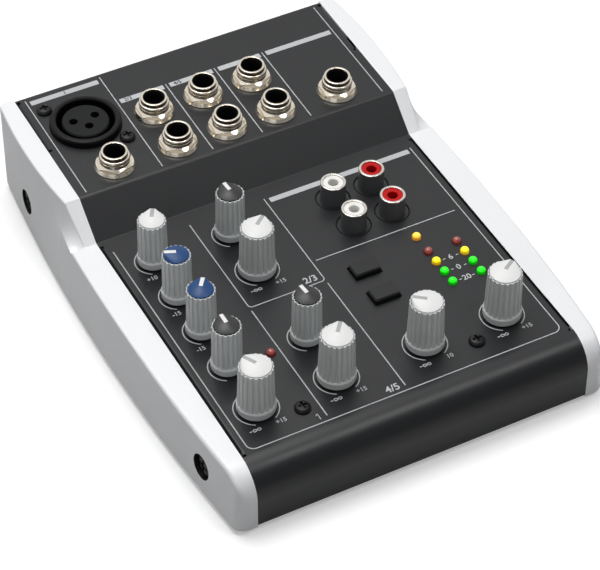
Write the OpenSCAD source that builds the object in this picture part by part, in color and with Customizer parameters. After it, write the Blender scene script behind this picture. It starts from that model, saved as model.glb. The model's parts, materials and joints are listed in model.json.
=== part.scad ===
// Table-top mixing console: a folded steel case between two moulded end cheeks.
// Millimetres. The origin is under the middle of the case, on the surface it stands on.
// +Z is up, +X is to the right of a user who sits on the -Y side.

/* [Case] */
// Width of the folded shell, from cheek to cheek
shell_w = 114.5; // [113:0.5:120]
// Depth of the case, from front face to rear face
case_d = 176.7; // [176:0.1:184]
// Thickness of the steel sheet
sheet_t = 1.2; // [0.8:0.1:1.4]
// Inside radius of the sheet's bends
bend_in = 0.3; // [0.3:0.1:0.9]
// Radius of the rolled front edge
nose_r = 10; // [8:0.5:12]
// Height of the jack panel at the rear face, above the undersides of the cheeks
jack_rear_h = 34.1; // [33:0.1:37]
// Height of the jack panel at the top of the ramp
jack_front_h = 32.4; // [31:0.1:33]
// Height of the control panel at the foot of the ramp
control_rear_h = 22.2; // [21.6:0.1:23]
// Height at which the control panel's plane meets the front face
control_front_h = 20.8; // [20.6:0.1:21.6]
// Depth of the jack panel, from the rear face to the top of the ramp
jack_panel_d = 52.7; // [51:0.1:54]
// Depth of the ramp between the two panels
ramp_d = 11.6; // [9:0.1:14]
// Height of the tray's underside above the undersides of the cheeks
tray_lift = 0.8; // [0.4:0.1:1.2]
// Gap between the tray's upturned sides and the shell's side flanges
tray_gap = 0.3; // [0.2:0.1:1]
// Depth of the shell's turned-in edges that rest on the tray
lip_d = 9; // [8:0.5:12]
// Depth of the shell's side flanges
flange_h = 5; // [4:0.1:5.2]
// Width of the notch at the end of a side flange
relief_w = 1; // [0.6:0.1:1.5]
// Distance of the rear notches from the rear face
rear_relief_d = 27.6; // [24:0.1:30]
// Distance of the front notches behind the start of the rolled edge
front_relief_d = 0.8; // [0.5:0.1:3]

/* [Cheeks] */
// Width of a cheek at the widest part of its underside
cheek_w = 11.2; // [10:0.1:13]
// Radius of the outward bow of a cheek's underside
bow_r = 780; // [700:10:1200]
// Distance of the widest part of the bow in front of the middle
bow_shift = 7.5; // [0:0.5:12]
// Inward lean of the side face, at the top of its middle part
cheek_lean = 1.8; // [1:0.1:2]
// Inward lean of the side face near the front
front_lean = 1.4; // [0.4:0.1:1.8]
// Widest part of the flat strip beside the jack panel
jack_strip_w = 7; // [6.4:0.1:7.4]
// Radius of that strip's outer edge, seen from above
jack_strip_r = 190; // [150:5:220]
// Distance of that strip's widest part from the rear face
jack_strip_d = 26.5; // [24:0.5:32]
// Width that the strip loses beside the ramp
strip_taper = 1; // [0:0.1:1.5]
// Height that the scoop's lower edge gains behind the ramp
scoop_rise = 2.4; // [1:0.1:3]
// Length of the scoop, from the foot of the ramp
scoop_l = 25; // [20:0.5:30]
// Radius of the strip's outer edge
edge_r = 0.9; // [0.4:0.1:1.2]
// Radius of the strip's outer edge at the front
front_edge_r = 1.4; // [1:0.1:3]
// Radius of the front corners, seen from above
corner_r = 3.4; // [3:0.1:5]
// Radius of the rear corners, seen from above
rear_corner_r = 1; // [0.6:0.1:1.5]
// Distance of the front cheek screw from the front face
front_screw_d = 21.1; // [20:0.1:24]
// Height of the front cheek screw above the underside of the cheek
front_screw_h = 10; // [8:0.1:11]
// Distance of the rear cheek screw from the rear face
rear_screw_d = 24.5; // [20:0.1:26]
// Height of the rear cheek screw above the underside of the cheek
rear_screw_h = 11.6; // [9:0.1:11.8]
// Depth of the pockets on the inside of a cheek
pocket_d = 4; // [2:0.1:5]
// Number of pockets between the two screws of a cheek
pocket_n = 5; // [3:1:7]
// Thickness of the ribs between the pockets
rib_t = 2; // [1.5:0.1:3]

/* [Knobs] */
// Radius of a small knob at its base
small_base_r = 5.2; // [4.9:0.05:5.5]
// Radius of a small knob at its rim
small_top_r = 4.6; // [4.35:0.05:4.7]
// Height of a small knob's rim above the panel
small_h = 17.6; // [15:0.1:19]
// Radius of a large knob at its base
large_base_r = 6.2; // [5.9:0.05:6.6]
// Radius of a large knob at its rim
large_top_r = 5.4; // [5.2:0.05:5.6]
// Height of a large knob's rim above the panel
large_h = 18; // [15:0.1:20]
// Flutes around a small knob
small_flutes = 18; // [16:1:20]
// Flutes around a large knob
large_flutes = 20; // [18:1:22]
// Radius of a flute
flute_r = 0.45; // [0.4:0.05:0.6]
// Depth of a flute
flute_depth = 0.28; // [0.2:0.01:0.42]
// Height of the plain skirt at a knob's base
skirt_h = 3; // [2:0.1:4]
// Gap between a knob and the panel
knob_gap = 0.5; // [0.3:0.1:1]
// Width of the knob's rim around the cap
rim_w = 0.75; // [0.7:0.05:1]
// Depth of the cap's seat in the knob
cap_seat = 1; // [0.6:0.1:1.4]
// Height of the cap's ridge above the rim
cap_rise = 1.5; // [1:0.1:2]
// Width of the pointer
pointer_w = 1.1; // [0.6:0.1:1.2]
// Radius of a shaft
shaft_r = 3; // [2.5:0.1:3.1]
// Distance of the shaft's flat from its axis
shaft_flat = 1.5; // [1:0.1:2]

/* [Control panel] */
// Width of the shell for which the places below are given
layout_w = 114.5; // [113:0.5:120]
// Depth of the control panel for which the distances below are given
layout_d = 112.4; // [110:0.1:116]
// Column of the microphone channel's knobs
mono_x = -44.5; // [-45:0.1:-43.5]
// Column of the two stereo channels' knobs
stereo_x = -17.2; // [-19:0.1:-16]
// Column of the headphone knob
phones_x = 13.6; // [13:0.1:15]
// Column of the main level knob
main_x = 41.1; // [40:0.1:42]
// Distance of the level knobs from the front face
level_d = 25.6; // [25:0.1:27]
// Distance of the pan and lower balance knobs from the front face
pan_d = 44.9; // [44:0.1:46]
// Distance of the low tone knob from the front face
low_d = 62.3; // [62:0.1:64]
// Distance of the high tone knob from the front face
high_d = 79.3; // [79:0.1:81]
// Distance of the upper stereo channel's level knob from the front face
upper_level_d = 78.2; // [77:0.1:79]
// Distance of the trim and upper balance knobs from the front face
trim_d = 96.9; // [96:0.1:98]
// Left column of the meter
meter_x = 34.7; // [34:0.1:35.5]
// Distance between the two columns of the meter
meter_w = 10.4; // [9:0.1:11]
// Distance between the power lamp and the meter's highest lamps
meter_gap = 7.6; // [6:0.1:9]
// Distance between two lamps of the meter
meter_pitch = 5.13; // [4.5:0.01:5.5]
// Distance between the phono sockets' block and the power lamp
power_gap = 7.35; // [6:0.05:9]
// Place of the channel's overload lamp, from the middle
clip_x = -30.3; // [-32:0.1:-29]
// Distance of the channel's overload lamp from the front face
clip_d = 43.6; // [42:0.1:45]
// Radius of a lamp
led_r = 1.5; // [1:0.1:1.7]
// Place of the phono sockets' middle, from the middle of the case
phono_x = 26.85; // [26:0.05:28]
// Distance of the phono sockets' middle from the front face
phono_d = 89.5; // [88.5:0.1:90]
// Distance between two phono sockets
phono_pitch = 14.1; // [13.8:0.1:14.5]
// Place of the two push buttons, from the middle
button_x = 12.85; // [12:0.05:13.5]
// Gap between the phono sockets' block and the rear push button's switch
button_gap = 7.75; // [6:0.05:9]
// Distance between the push buttons
button_pitch = 12.5; // [11.5:0.1:13]
// Width of a push button
button_w = 9; // [8:0.1:10]
// Length of a push button
button_l = 6; // [5:0.1:6.5]
// Height of a push button above the panel
button_h = 2; // [1.8:0.1:3]
// Travel of a push button
button_travel = 1.5; // [1:0.1:1.6]
// Place of the left panel screw, from the middle
panel_screw_left = -32.3; // [-33:0.1:-31]
// Place of the right panel screw, from the middle
panel_screw_right = 28.2; // [27:0.1:29]
// Distance of the panel screws from the front face
panel_screw_d = 19; // [18.5:0.1:20]

/* [Jack panel] */
// Distance between two columns of jacks
jack_pitch = 18; // [17:0.1:19]
// Place of the line jack, from the middle
line_jack_x = -40.6; // [-42:0.1:-39]
// Place of the headphone jack, from the middle
phones_jack_x = 40.8; // [39:0.1:42]
// Distance of the front row of jacks from the top of the ramp
jack_front_d = 9; // [8.4:0.1:9.6]
// Distance between the two rows of jacks
jack_row_pitch = 17.8; // [17:0.1:19]
// Radius of a jack's bore
jack_bore_r = 3.25; // [3:0.05:3.4]
// Radius of a jack's threaded bushing
jack_bush_r = 4.4; // [4.2:0.05:4.6]
// Height of the bushing above the panel
jack_bush_h = 6.4; // [5:0.1:7]
// Place of the microphone socket, from the middle
mic_x = -40.8; // [-42:0.1:-40]
// Gap between the microphone socket's flange and the body of the line jack
mic_gap = 0.7; // [0.4:0.1:1]
// Radius of the microphone socket's shell
mic_r = 11.8; // [11.4:0.1:12]
// Radius of the shell's cavity
mic_cavity_r = 9.7; // [9.3:0.1:10]
// Radius of the insert that carries the contacts
mic_insert_r = 7.9; // [7.5:0.1:8.2]
// Height of the shell above the panel
mic_h = 2.6; // [2:0.1:4]

/* [Sockets and feet] */
// Radius of a phono barrel
phono_r = 4.2; // [4:0.05:4.4]
// Height of a phono barrel above the panel
phono_h = 7.3; // [6:0.1:9]
// Radius of a phono socket's centre hole
phono_bore_r = 1.6; // [1.4:0.05:1.8]
// Place of the rear socket, from the middle
usb_x = 30; // [20:1:40]
// Width of the rear socket
usb_w = 8.9; // [8:0.1:10]
// Height of the rear socket
usb_h = 3.2; // [2.8:0.1:3.6]
// Height of the feet below the cheeks
foot_h = 1.5; // [1.2:0.1:4]
// Radius of a foot
foot_r = 5; // [4:0.5:7]
// Distance of a foot from the middle, across the case
foot_x = 44; // [35:1:48]
// Distance of a foot from the front or rear face
foot_d = 22; // [20:1:30]

/* [Hidden] */
$fn = 48;
// Clearances: a running shaft, a seated piece, a hole that a piece passes freely
run_fit = 0.05;
seat_fit = 0.02;
free_fit = 0.15;
shaft_hole_fit = 0.6;
button_fit = 0.3;
end_gap = 0.3;
// Overshoot of a cut beyond the face that it opens
cut = 1;

front_y = -case_d / 2;
rear_y = case_d / 2;
ramp_top_y = rear_y - jack_panel_d;
ramp_foot_y = ramp_top_y - ramp_d;
tray_z = foot_h + tray_lift;
floor_z = tray_z + sheet_t;
bend_out = bend_in + sheet_t;
control_d = ramp_foot_y - front_y;
tray_wall_h = control_front_h - flange_h - tray_lift - tray_gap;
jack_slope = (jack_rear_h - jack_front_h) / jack_panel_d;
control_slope = (control_rear_h - control_front_h) / control_d;
jack_tilt = atan(jack_slope);
control_tilt = atan(control_slope);

// Depths below the panels at which the boards lie, and their thickness
pot_body_h = 6.6;
control_board_z = -sheet_t - pot_body_h;
jack_body_h = 24;
jack_board_z = -sheet_t - jack_body_h;
board_t = 1.6;
board_margin = 3;

// Outlines of the bodies that set the distances between sockets and switches
jack_body_w = 15;
mic_flange_w = 25;
mic_flange_l = 28;
phono_margin = 7.2;
switch_w = 8;
switch_l = 10;

// The layout keeps its proportions when the case gets another width or depth
function column_x(x) = x * shell_w / layout_w;
function row_y(d) = front_y + d * control_d / layout_d;

// Screws: radius of the shank, radius and height of the head, and depth of a cheek's heads below its face
screw_r = 1.5;
screw_head_r = 2.6;
screw_head_h = 1.6;
cheek_head_r = 4.2;
cheek_head_h = 1.8;
cheek_sink = 0.7;

// Colours of the knobs' caps
WHITE_CAP = [0.93, 0.93, 0.93];
BLUE_CAP = [0.15, 0.35, 0.6];
DARK_CAP = [0.2, 0.2, 0.21];

// Each knob: name, place in plan, large or not, pointer angle, cap colour
KNOBS = [
    ["trim", column_x(mono_x), row_y(trim_d), false, -31, WHITE_CAP],
    ["high_tone", column_x(mono_x), row_y(high_d), false, 66, BLUE_CAP],
    ["low_tone", column_x(mono_x), row_y(low_d), false, -37, BLUE_CAP],
    ["pan", column_x(mono_x), row_y(pan_d), false, 0, DARK_CAP],
    ["level_1", column_x(mono_x), row_y(level_d), true, 28, WHITE_CAP],
    ["balance_23", column_x(stereo_x), row_y(trim_d), false, 4, DARK_CAP],
    ["level_23", column_x(stereo_x), row_y(upper_level_d), true, -51, WHITE_CAP],
    ["balance_45", column_x(stereo_x), row_y(pan_d), false, 5, DARK_CAP],
    ["level_45", column_x(stereo_x), row_y(level_d), true, -39, WHITE_CAP],
    ["phones", column_x(phones_x), row_y(level_d), true, 52, WHITE_CAP],
    ["main", column_x(main_x), row_y(level_d), true, -58, WHITE_CAP]
];

// Jacks and microphone socket as places in plan
jack_front_y = ramp_top_y + jack_front_d;
jack_rear_y = jack_front_y + jack_row_pitch;
JACKS = concat(
    [[column_x(line_jack_x), jack_front_y], [column_x(phones_jack_x), jack_front_y]],
    [for (column = [-1:1], y = [jack_rear_y, jack_front_y]) [column_x(column * jack_pitch), y]]
);
mic_at = [column_x(mic_x), jack_front_y + jack_body_w / 2 + mic_gap + mic_flange_l / 2];

// Phono sockets by colour
function phono_at(i, j) =
    [column_x(phono_x) + (i - 0.5) * phono_pitch, row_y(phono_d) + (j - 0.5) * phono_pitch];
WHITE_PHONOS = [for (j = [0, 1]) phono_at(0, j)];
RED_PHONOS = [for (j = [0, 1]) phono_at(1, j)];
PHONOS = concat(WHITE_PHONOS, RED_PHONOS);
phono_front_y = row_y(phono_d) - phono_pitch / 2 - phono_margin;

// Push buttons in front of the phono sockets
upper_button_y = phono_front_y - button_gap - switch_l / 2;
BUTTONS = [
    ["upper_button", column_x(button_x), upper_button_y],
    ["lower_button", column_x(button_x), upper_button_y - button_pitch]
];

// Lamps by colour: the power lamp and the meter stand in front of the phono sockets
METER_COLUMNS = [column_x(meter_x), column_x(meter_x) + meter_w];
power_y = phono_front_y - power_gap;
function meter_row(i) = power_y - meter_gap - i * meter_pitch;
GREEN_LEDS = [for (x = METER_COLUMNS, i = [2, 3]) [x, meter_row(i)]];
YELLOW_LEDS = concat([[column_x(meter_x), power_y]], [for (x = METER_COLUMNS) [x, meter_row(1)]]);
RED_LEDS = concat([[column_x(clip_x), row_y(clip_d)]], [for (x = METER_COLUMNS) [x, meter_row(0)]]);

PANEL_SCREWS = [for (x = [panel_screw_left, panel_screw_right]) [column_x(x), row_y(panel_screw_d)]];

// Screws of the microphone socket, from its centre
mic_screw_x = 9.5;
mic_screw_y = 12;
MIC_SCREWS = [[-mic_screw_x, mic_screw_y], [mic_screw_x, -mic_screw_y]];

// Cheek screws as distance along the case and height
CHEEK_SCREWS = [
    [front_y + front_screw_d, foot_h + front_screw_h],
    [rear_y - rear_screw_d, foot_h + rear_screw_h]
];

// Screws that hold the tray to the shell's turned-in edges
base_screw_x = 38;
lip_screw_d = sheet_t + lip_d / 2;
BASE_SCREWS = [
    for (x = [-base_screw_x, base_screw_x], y = [front_y + lip_screw_d, rear_y - lip_screw_d]) [x, y]
];

// Height of the two panels' outer faces at a place along the case
function jack_z(y) = foot_h + jack_front_h + (y - ramp_top_y) * jack_slope;
function control_z(y) = foot_h + control_front_h + (y - front_y) * control_slope;

// Frames on the panels' outer faces, with +Z square to the panel
module on_jack_panel(place) {
    translate([place.x, place.y, jack_z(place.y)]) rotate([jack_tilt, 0, 0]) children();
}

module on_control_panel(place) {
    translate([place.x, place.y, control_z(place.y)]) rotate([control_tilt, 0, 0]) children();
}

// Geometry of the fold, seen from the side: corners, bends and their centres
function unit(v) = v / norm(v);
function inward(a, b) = let (d = unit(b - a)) [-d.y, d.x];
function inset_corner(a, b, c, t) =
    let (n = inward(a, b), m = inward(b, c)) b + t * (n + m) / (1 + n * m);
function half_angle(a, b, c) = acos(unit(a - b) * unit(c - b)) / 2;
function bend_start(a, b, c, r) = b + unit(a - b) * r / tan(half_angle(a, b, c));
function bend_centre(a, b, c, r) =
    b + unit(unit(a - b) + unit(c - b)) * r / sin(half_angle(a, b, c));

FOLD = [
    [rear_y, tray_z],
    [rear_y, foot_h + jack_rear_h],
    [ramp_top_y, foot_h + jack_front_h],
    [ramp_foot_y, foot_h + control_rear_h],
    [front_y, foot_h + control_front_h],
    [front_y, tray_z]
];
NOSE = bend_centre(FOLD[3], FOLD[4], FOLD[5], nose_r);
nose_start_y = bend_start(FOLD[3], FOLD[4], FOLD[5], nose_r).x;

function fold_points(inset) = concat(
    [[rear_y - inset, tray_z - inset]],
    [for (i = [1:4]) inset_corner(FOLD[i - 1], FOLD[i], FOLD[i + 1], inset)],
    [[front_y + inset, tray_z - inset]]
);
function fold_radii(inset) = [0, bend_out - inset, bend_out - inset, bend_in + inset, nose_r - inset, 0];

// Side view of the case, filled: three outward bends and the inward one at the ramp's foot
module fold_profile(inset) {
    p = fold_points(inset);
    r = fold_radii(inset);
    bends = [for (i = [1:4]) each [
        bend_start(p[i - 1], p[i], p[i + 1], r[i]),
        bend_start(p[i + 1], p[i], p[i - 1], r[i])
    ]];
    difference() {
        union() {
            polygon(concat([p[0]], bends, [p[5]]));
            intersection() {
                for (i = [1, 2, 4]) translate(bend_centre(p[i - 1], p[i], p[i + 1], r[i])) circle(r[i]);
                translate([p[5].x - cut, p[0].y]) square([case_d + 2 * cut, jack_rear_h + cut]);
            }
        }
        translate(bend_centre(p[2], p[3], p[4], r[3])) circle(r[3]);
    }
}

// A side view drawn in Y and Z, drawn out across the case
module across(w) {
    rotate([90, 0, 90]) linear_extrude(w, center = true) children();
}

// A front view drawn in X and Z, drawn out towards the front by a length
module along(l) {
    rotate([90, 0, 0]) linear_extrude(l) children();
}

// Quarter of a bent sheet, from its flat to its upright, with the bend's centre at the origin
module bend_quarter() {
    intersection() {
        difference() {
            circle(bend_out);
            circle(bend_in);
        }
        square(bend_out);
    }
}

// Front view of the right side flange, under the panel's outer face
module flange_section() {
    translate([shell_w / 2 - bend_out, -bend_out]) bend_quarter();
    translate([shell_w / 2 - sheet_t, -flange_h]) square([sheet_t, flange_h - bend_out]);
}

// The same shape on the right and on the left
module both_sides() {
    children();
    mirror([1, 0, 0]) children();
}

// Flanges on both sides of the shell between two places, measured from the panel frame
module side_flanges(from, to) {
    both_sides() translate([0, to, 0]) along(to - from) flange_section();
}

// Room for the flanges' bends in the flat sheet, with a notch at each end
module side_notches(from, to) {
    both_sides()
        translate([shell_w / 2 - bend_out, from - relief_w, -sheet_t - cut])
            cube([bend_out + cut, to - from + 2 * relief_w, sheet_t + 2 * cut]);
}

// Lengths of the side flanges, from the panel frames at the rear face and the ramp's foot
rear_flange = [-rear_relief_d, -bend_out - relief_w - end_gap];
front_flange = [nose_start_y + front_relief_d - ramp_foot_y, -board_margin];

// Front view of the rear socket's opening
usb_flat = usb_w - usb_h;
module usb_outline(grow) {
    square([usb_flat, usb_h + 2 * grow], center = true);
    for (x = [-usb_flat / 2, usb_flat / 2]) translate([x, 0]) circle(usb_h / 2 + grow);
}

usb_l = 7.4;
usb_set_back = 0.2;
usb_z = jack_board_z + usb_h / 2;
module on_usb() {
    on_jack_panel([usb_x, rear_y]) translate([0, usb_z * jack_slope - usb_set_back, usb_z]) children();
}

module drill(r, h) {
    translate([0, 0, -h - cut]) cylinder(r = r, h = h + 2 * cut);
}

module top_shell() {
    color([0.18, 0.18, 0.19]) difference() {
        union() {
            difference() {
                across(shell_w) difference() {
                    fold_profile(0);
                    fold_profile(sheet_t);
                }
                on_jack_panel([0, rear_y]) side_notches(rear_flange[0], rear_flange[1]);
                on_control_panel([0, ramp_foot_y]) side_notches(front_flange[0], front_flange[1]);
            }
            on_jack_panel([0, rear_y]) side_flanges(rear_flange[0], rear_flange[1]);
            on_control_panel([0, ramp_foot_y]) side_flanges(front_flange[0], front_flange[1]);
            for (y = [front_y + sheet_t / 2, rear_y - sheet_t / 2 - lip_d])
                translate([-shell_w / 2 + bend_out + cut, y, floor_z])
                    cube([shell_w - 2 * bend_out - 2 * cut, lip_d, sheet_t]);
        }
        for (j = JACKS) on_jack_panel(j) drill(jack_bush_r + free_fit, sheet_t);
        on_jack_panel(mic_at) {
            drill(mic_r + free_fit, sheet_t);
            for (s = MIC_SCREWS) translate(s) drill(screw_r + free_fit, sheet_t);
        }
        for (k = KNOBS) on_control_panel([k[1], k[2]]) drill(shaft_r + shaft_hole_fit, sheet_t);
        for (l = concat(RED_LEDS, YELLOW_LEDS, GREEN_LEDS))
            on_control_panel(l) drill(led_r + free_fit, sheet_t);
        for (p = PHONOS) on_control_panel(p) drill(phono_collar_r + free_fit, sheet_t);
        for (s = PANEL_SCREWS) on_control_panel(s) drill(screw_r + free_fit, sheet_t);
        for (b = BUTTONS)
            on_control_panel([b[1], b[2]])
                translate([0, 0, -sheet_t - cut]) linear_extrude(sheet_t + 2 * cut)
                    square([button_w + 2 * button_fit, button_l + 2 * button_fit], center = true);
        on_usb() translate([0, cut + usb_set_back, 0])
            along(sheet_t + 2 * cut + usb_set_back) usb_outline(free_fit);
        for (s = BASE_SCREWS) translate([s.x, s.y, floor_z + sheet_t]) drill(screw_r + seat_fit, sheet_t);
    }
}

// Front view of the tray: floor, bends and upturned sides
module tray_section() {
    translate([-shell_w / 2 + bend_out, 0]) square([shell_w - 2 * bend_out, sheet_t]);
    both_sides() {
        translate([shell_w / 2 - bend_out, bend_out]) mirror([0, 1]) bend_quarter();
        translate([shell_w / 2 - sheet_t, bend_out]) square([sheet_t, tray_wall_h - bend_out]);
    }
}

// Distances of the upturned sides from the front and rear faces
nose_gap = 2;
tray_wall_start = nose_r + nose_gap;
tray_wall_end = 4;
module base_tray() {
    color([0.22, 0.22, 0.23]) difference() {
        union() {
            translate([0, rear_y - tray_wall_end, tray_z])
                along(case_d - tray_wall_start - tray_wall_end) tray_section();
            translate([-shell_w / 2, front_y + sheet_t, tray_z])
                cube([shell_w, tray_wall_start - sheet_t, sheet_t]);
            translate([-shell_w / 2, rear_y - tray_wall_end, tray_z])
                cube([shell_w, tray_wall_end - sheet_t, sheet_t]);
        }
        for (s = CHEEK_SCREWS)
            translate([0, s.x, s.y]) rotate([0, 90, 0])
                cylinder(r = screw_r + seat_fit, h = shell_w + 2 * cut, center = true);
        for (s = BASE_SCREWS) translate([s.x, s.y, floor_z]) drill(screw_r + free_fit, sheet_t);
    }
}

// Plan of a cheek: bowed underside, rounded corners, and the flat strip on top
function clamp01(t) = min(1, max(0, t));
function smooth(t) = let (u = clamp01(t)) u * u * (3 - 2 * u);
function blend(a, b, t) = a + (b - a) * t;
function arc_drop(r, d) = r - sqrt(max(0, r * r - d * d));
function bow_x(y) = shell_w / 2 + cheek_w - arc_drop(bow_r, y + bow_shift);
corner_share = 0.8;
front_corner_r = min(corner_r, corner_share * (bow_x(front_y) - shell_w / 2));
function corner_cut(y) =
    arc_drop(front_corner_r, max(0, front_y + front_corner_r - y)) +
    arc_drop(rear_corner_r, max(0, y - rear_y + rear_corner_r));
function side_x(y) = bow_x(y) - corner_cut(y);

// The front part of a cheek has a larger edge and less lean than its middle part
edge_blend_l = 50;
edge_blend_start = 12.5;
function frontness(y) = smooth((-edge_blend_start - y) / edge_blend_l);
function lean_at(y) = blend(cheek_lean, front_lean, frontness(y));
function top_w(y) = side_x(y) - lean_at(y) - shell_w / 2;
function edge_at(y) = min(blend(edge_r, front_edge_r, frontness(y)), top_w(y) / 2);

function strip_arc(y) = shell_w / 2 + jack_strip_w - arc_drop(jack_strip_r, y - rear_y + jack_strip_d);
function strip_x(y) =
    strip_arc(max(y, ramp_top_y)) - strip_taper * clamp01((ramp_top_y - y) / ramp_d) - corner_cut(y);

// Height of a cheek, flush with the shell
function cheek_top(y) =
    y >= ramp_top_y ? jack_z(y) :
    y >= ramp_foot_y ? blend(control_z(ramp_foot_y), jack_z(ramp_top_y), (y - ramp_foot_y) / ramp_d) :
    y >= nose_start_y ? control_z(y) :
    NOSE.y + sqrt(max(0, nose_r * nose_r - (y - NOSE.x) * (y - NOSE.x)));

// Cross-section of the right cheek in X and Z, from the inner bottom edge round to the inner top edge
bottom_r = 0.7;
cove_steps = 5;
cove_share = 0.2;
edge_steps = cove_steps + 2;
soft_edge = 0.3 * edge_r;
function cheek_base(y) = [
    [shell_w / 2, foot_h],
    [side_x(y) - bottom_r, foot_h],
    [side_x(y), foot_h + bottom_r]
];

// In front of the ramp the side face ends in a rounded edge
function front_section(y) =
    let (x = side_x(y) - lean_at(y), z = cheek_top(y), r = edge_at(y))
    concat(
        cheek_base(y),
        [for (i = [0:edge_steps]) let (a = 90 * i / edge_steps) [x - r * (1 - cos(a)), z - r * (1 - sin(a))]],
        [[shell_w / 2, z]]
    );

// From the ramp backwards a slightly hollow facet fades out between the side face and the strip
function scoop_z(y) = foot_h + control_rear_h - edge_r + scoop_rise * clamp01((y - ramp_foot_y) / scoop_l);
function rear_section(y) =
    let (
        w = 1 - smooth((y - ramp_foot_y) / scoop_l),
        top = cheek_top(y),
        low = min(scoop_z(y), top - edge_r),
        s = strip_x(y),
        share = (low - foot_h) / (top - foot_h),
        x = blend(blend(side_x(y), s, share), side_x(y) - cheek_lean, w),
        high = top - edge_r
    )
    concat(
        cheek_base(y),
        [for (i = [0:cove_steps])
            let (u = i / cove_steps)
            [
                blend(x, s, blend(u, sin(90 * u), cove_share * w)),
                blend(low, high, blend(u, 1 - cos(90 * u), cove_share * w))
            ]],
        [[s - soft_edge, top - soft_edge], [s - edge_r, top], [shell_w / 2, top]]
    );

// Places of the sections, from the rear face to the front face
corner_steps = 3;
jack_steps = 9;
ramp_steps = 5;
control_steps = 14;
nose_steps = 9;
foot_step = 0.6;
CHEEK_STATIONS = concat(
    [for (i = [0:corner_steps]) rear_y - rear_corner_r * (1 - cos(90 * i / corner_steps))],
    [for (i = [1:jack_steps]) blend(rear_y - rear_corner_r, ramp_top_y, i / jack_steps)],
    [for (i = [1:ramp_steps]) blend(ramp_top_y, ramp_foot_y + foot_step, i / ramp_steps)],
    [for (i = [0:control_steps]) blend(ramp_foot_y, nose_start_y, i / control_steps)],
    [for (i = [1:nose_steps]) blend(nose_start_y, front_y, sin(90 * i / nose_steps))]
);

// Solid drawn through cross-sections at places along the case
module loft(places, sections) {
    n = len(sections[0]);
    last = len(places) - 1;
    points = [for (i = [0:last], p = sections[i]) [p.x, places[i], p.y]];
    sides = [for (i = [0:last - 1], j = [0:n - 1])
        let (a = i * n + j, b = i * n + (j + 1) % n)
        each [[a, a + n, b + n], [a, b + n, b]]];
    ends = [[for (j = [0:n - 1]) j], [for (j = [n - 1:-1:0]) last * n + j]];
    polyhedron(points, concat(sides, ends), convexity = 6);
}

// The side face leans inwards with height, and each screw is sunk from the face at its own place
function cheek_section(y) = y > ramp_foot_y ? rear_section(y) : front_section(y);
function side_face_x(y, z) =
    let (low = cheek_section(y)[2], high = cheek_section(y)[3])
    blend(low.x, high.x, (z - low.y) / (high.y - low.y));
function cheek_seat_x(s) = side_face_x(s.x, s.y) - cheek_sink - cheek_head_h;
pocket_start = front_y + front_screw_d + 2 * cheek_head_r;
pocket_end = rear_y - rear_screw_d - 2 * cheek_head_r;
pocket_pitch = (pocket_end - pocket_start + rib_t) / pocket_n;
pocket_wall = 4;

module cheek() {
    difference() {
        loft(CHEEK_STATIONS, [for (y = CHEEK_STATIONS) cheek_section(y)]);
        for (s = CHEEK_SCREWS) translate([0, s.x, s.y]) rotate([0, 90, 0]) {
            cylinder(r = screw_r + free_fit, h = shell_w);
            translate([0, 0, cheek_seat_x(s)]) cylinder(r = cheek_head_r + free_fit, h = cheek_w);
        }
        for (i = [0:pocket_n - 1])
            translate([shell_w / 2 - cut, pocket_start + i * pocket_pitch, foot_h + pocket_wall])
                cube([pocket_d + cut, pocket_pitch - rib_t, control_front_h - 2 * pocket_wall]);
    }
}

module right_cheek() {
    color([0.75, 0.76, 0.77]) cheek();
}

module left_cheek() {
    color([0.75, 0.76, 0.77]) mirror([1, 0, 0]) cheek();
}

// Pan-head screw with its head's seat at the origin and its shank pointing down
head_wall = 0.4;
recess_share = 0.55;
recess_slot = 0.3;
module screw(head_r, head_h, shank_l) {
    recess_w = recess_slot * head_r;
    recess_l = 2 * recess_share * head_r;
    difference() {
        rotate_extrude() polygon([
            [0, -shank_l], [screw_r, -shank_l], [screw_r, 0], [head_r, 0],
            [head_r, head_wall * head_h], [0.8 * head_r, 0.8 * head_h], [0.45 * head_r, head_h], [0, head_h]
        ]);
        for (turn = [0, 90]) rotate([0, 0, turn])
            translate([-recess_l / 2, -recess_w / 2, head_wall * head_h]) cube([recess_l, recess_w, head_h]);
    }
}

// Lengths of thread beyond the sheets that the screws hold
cheek_screw_grip = 3;
base_screw_grip = 2.4;
module case_screws() {
    color([0.1, 0.1, 0.1]) {
        both_sides() for (s = CHEEK_SCREWS)
            let (seat = cheek_seat_x(s))
                translate([seat, s.x, s.y]) rotate([0, 90, 0])
                    screw(cheek_head_r, cheek_head_h, seat - shell_w / 2 + sheet_t + cheek_screw_grip);
        for (s = BASE_SCREWS)
            translate([s.x, s.y, tray_z]) rotate([180, 0, 0])
                screw(screw_head_r, screw_head_h, 2 * sheet_t + base_screw_grip);
    }
}

foot_edge = 0.8;
module rubber_feet() {
    color([0.12, 0.12, 0.12])
        for (x = [-foot_x, foot_x], y = [front_y + foot_d, rear_y - foot_d])
            translate([x, y, 0]) rotate_extrude() polygon([
                [0, 0], [foot_r - foot_edge, 0], [foot_r, foot_edge], [foot_r, tray_z], [0, tray_z]
            ]);
}

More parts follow.
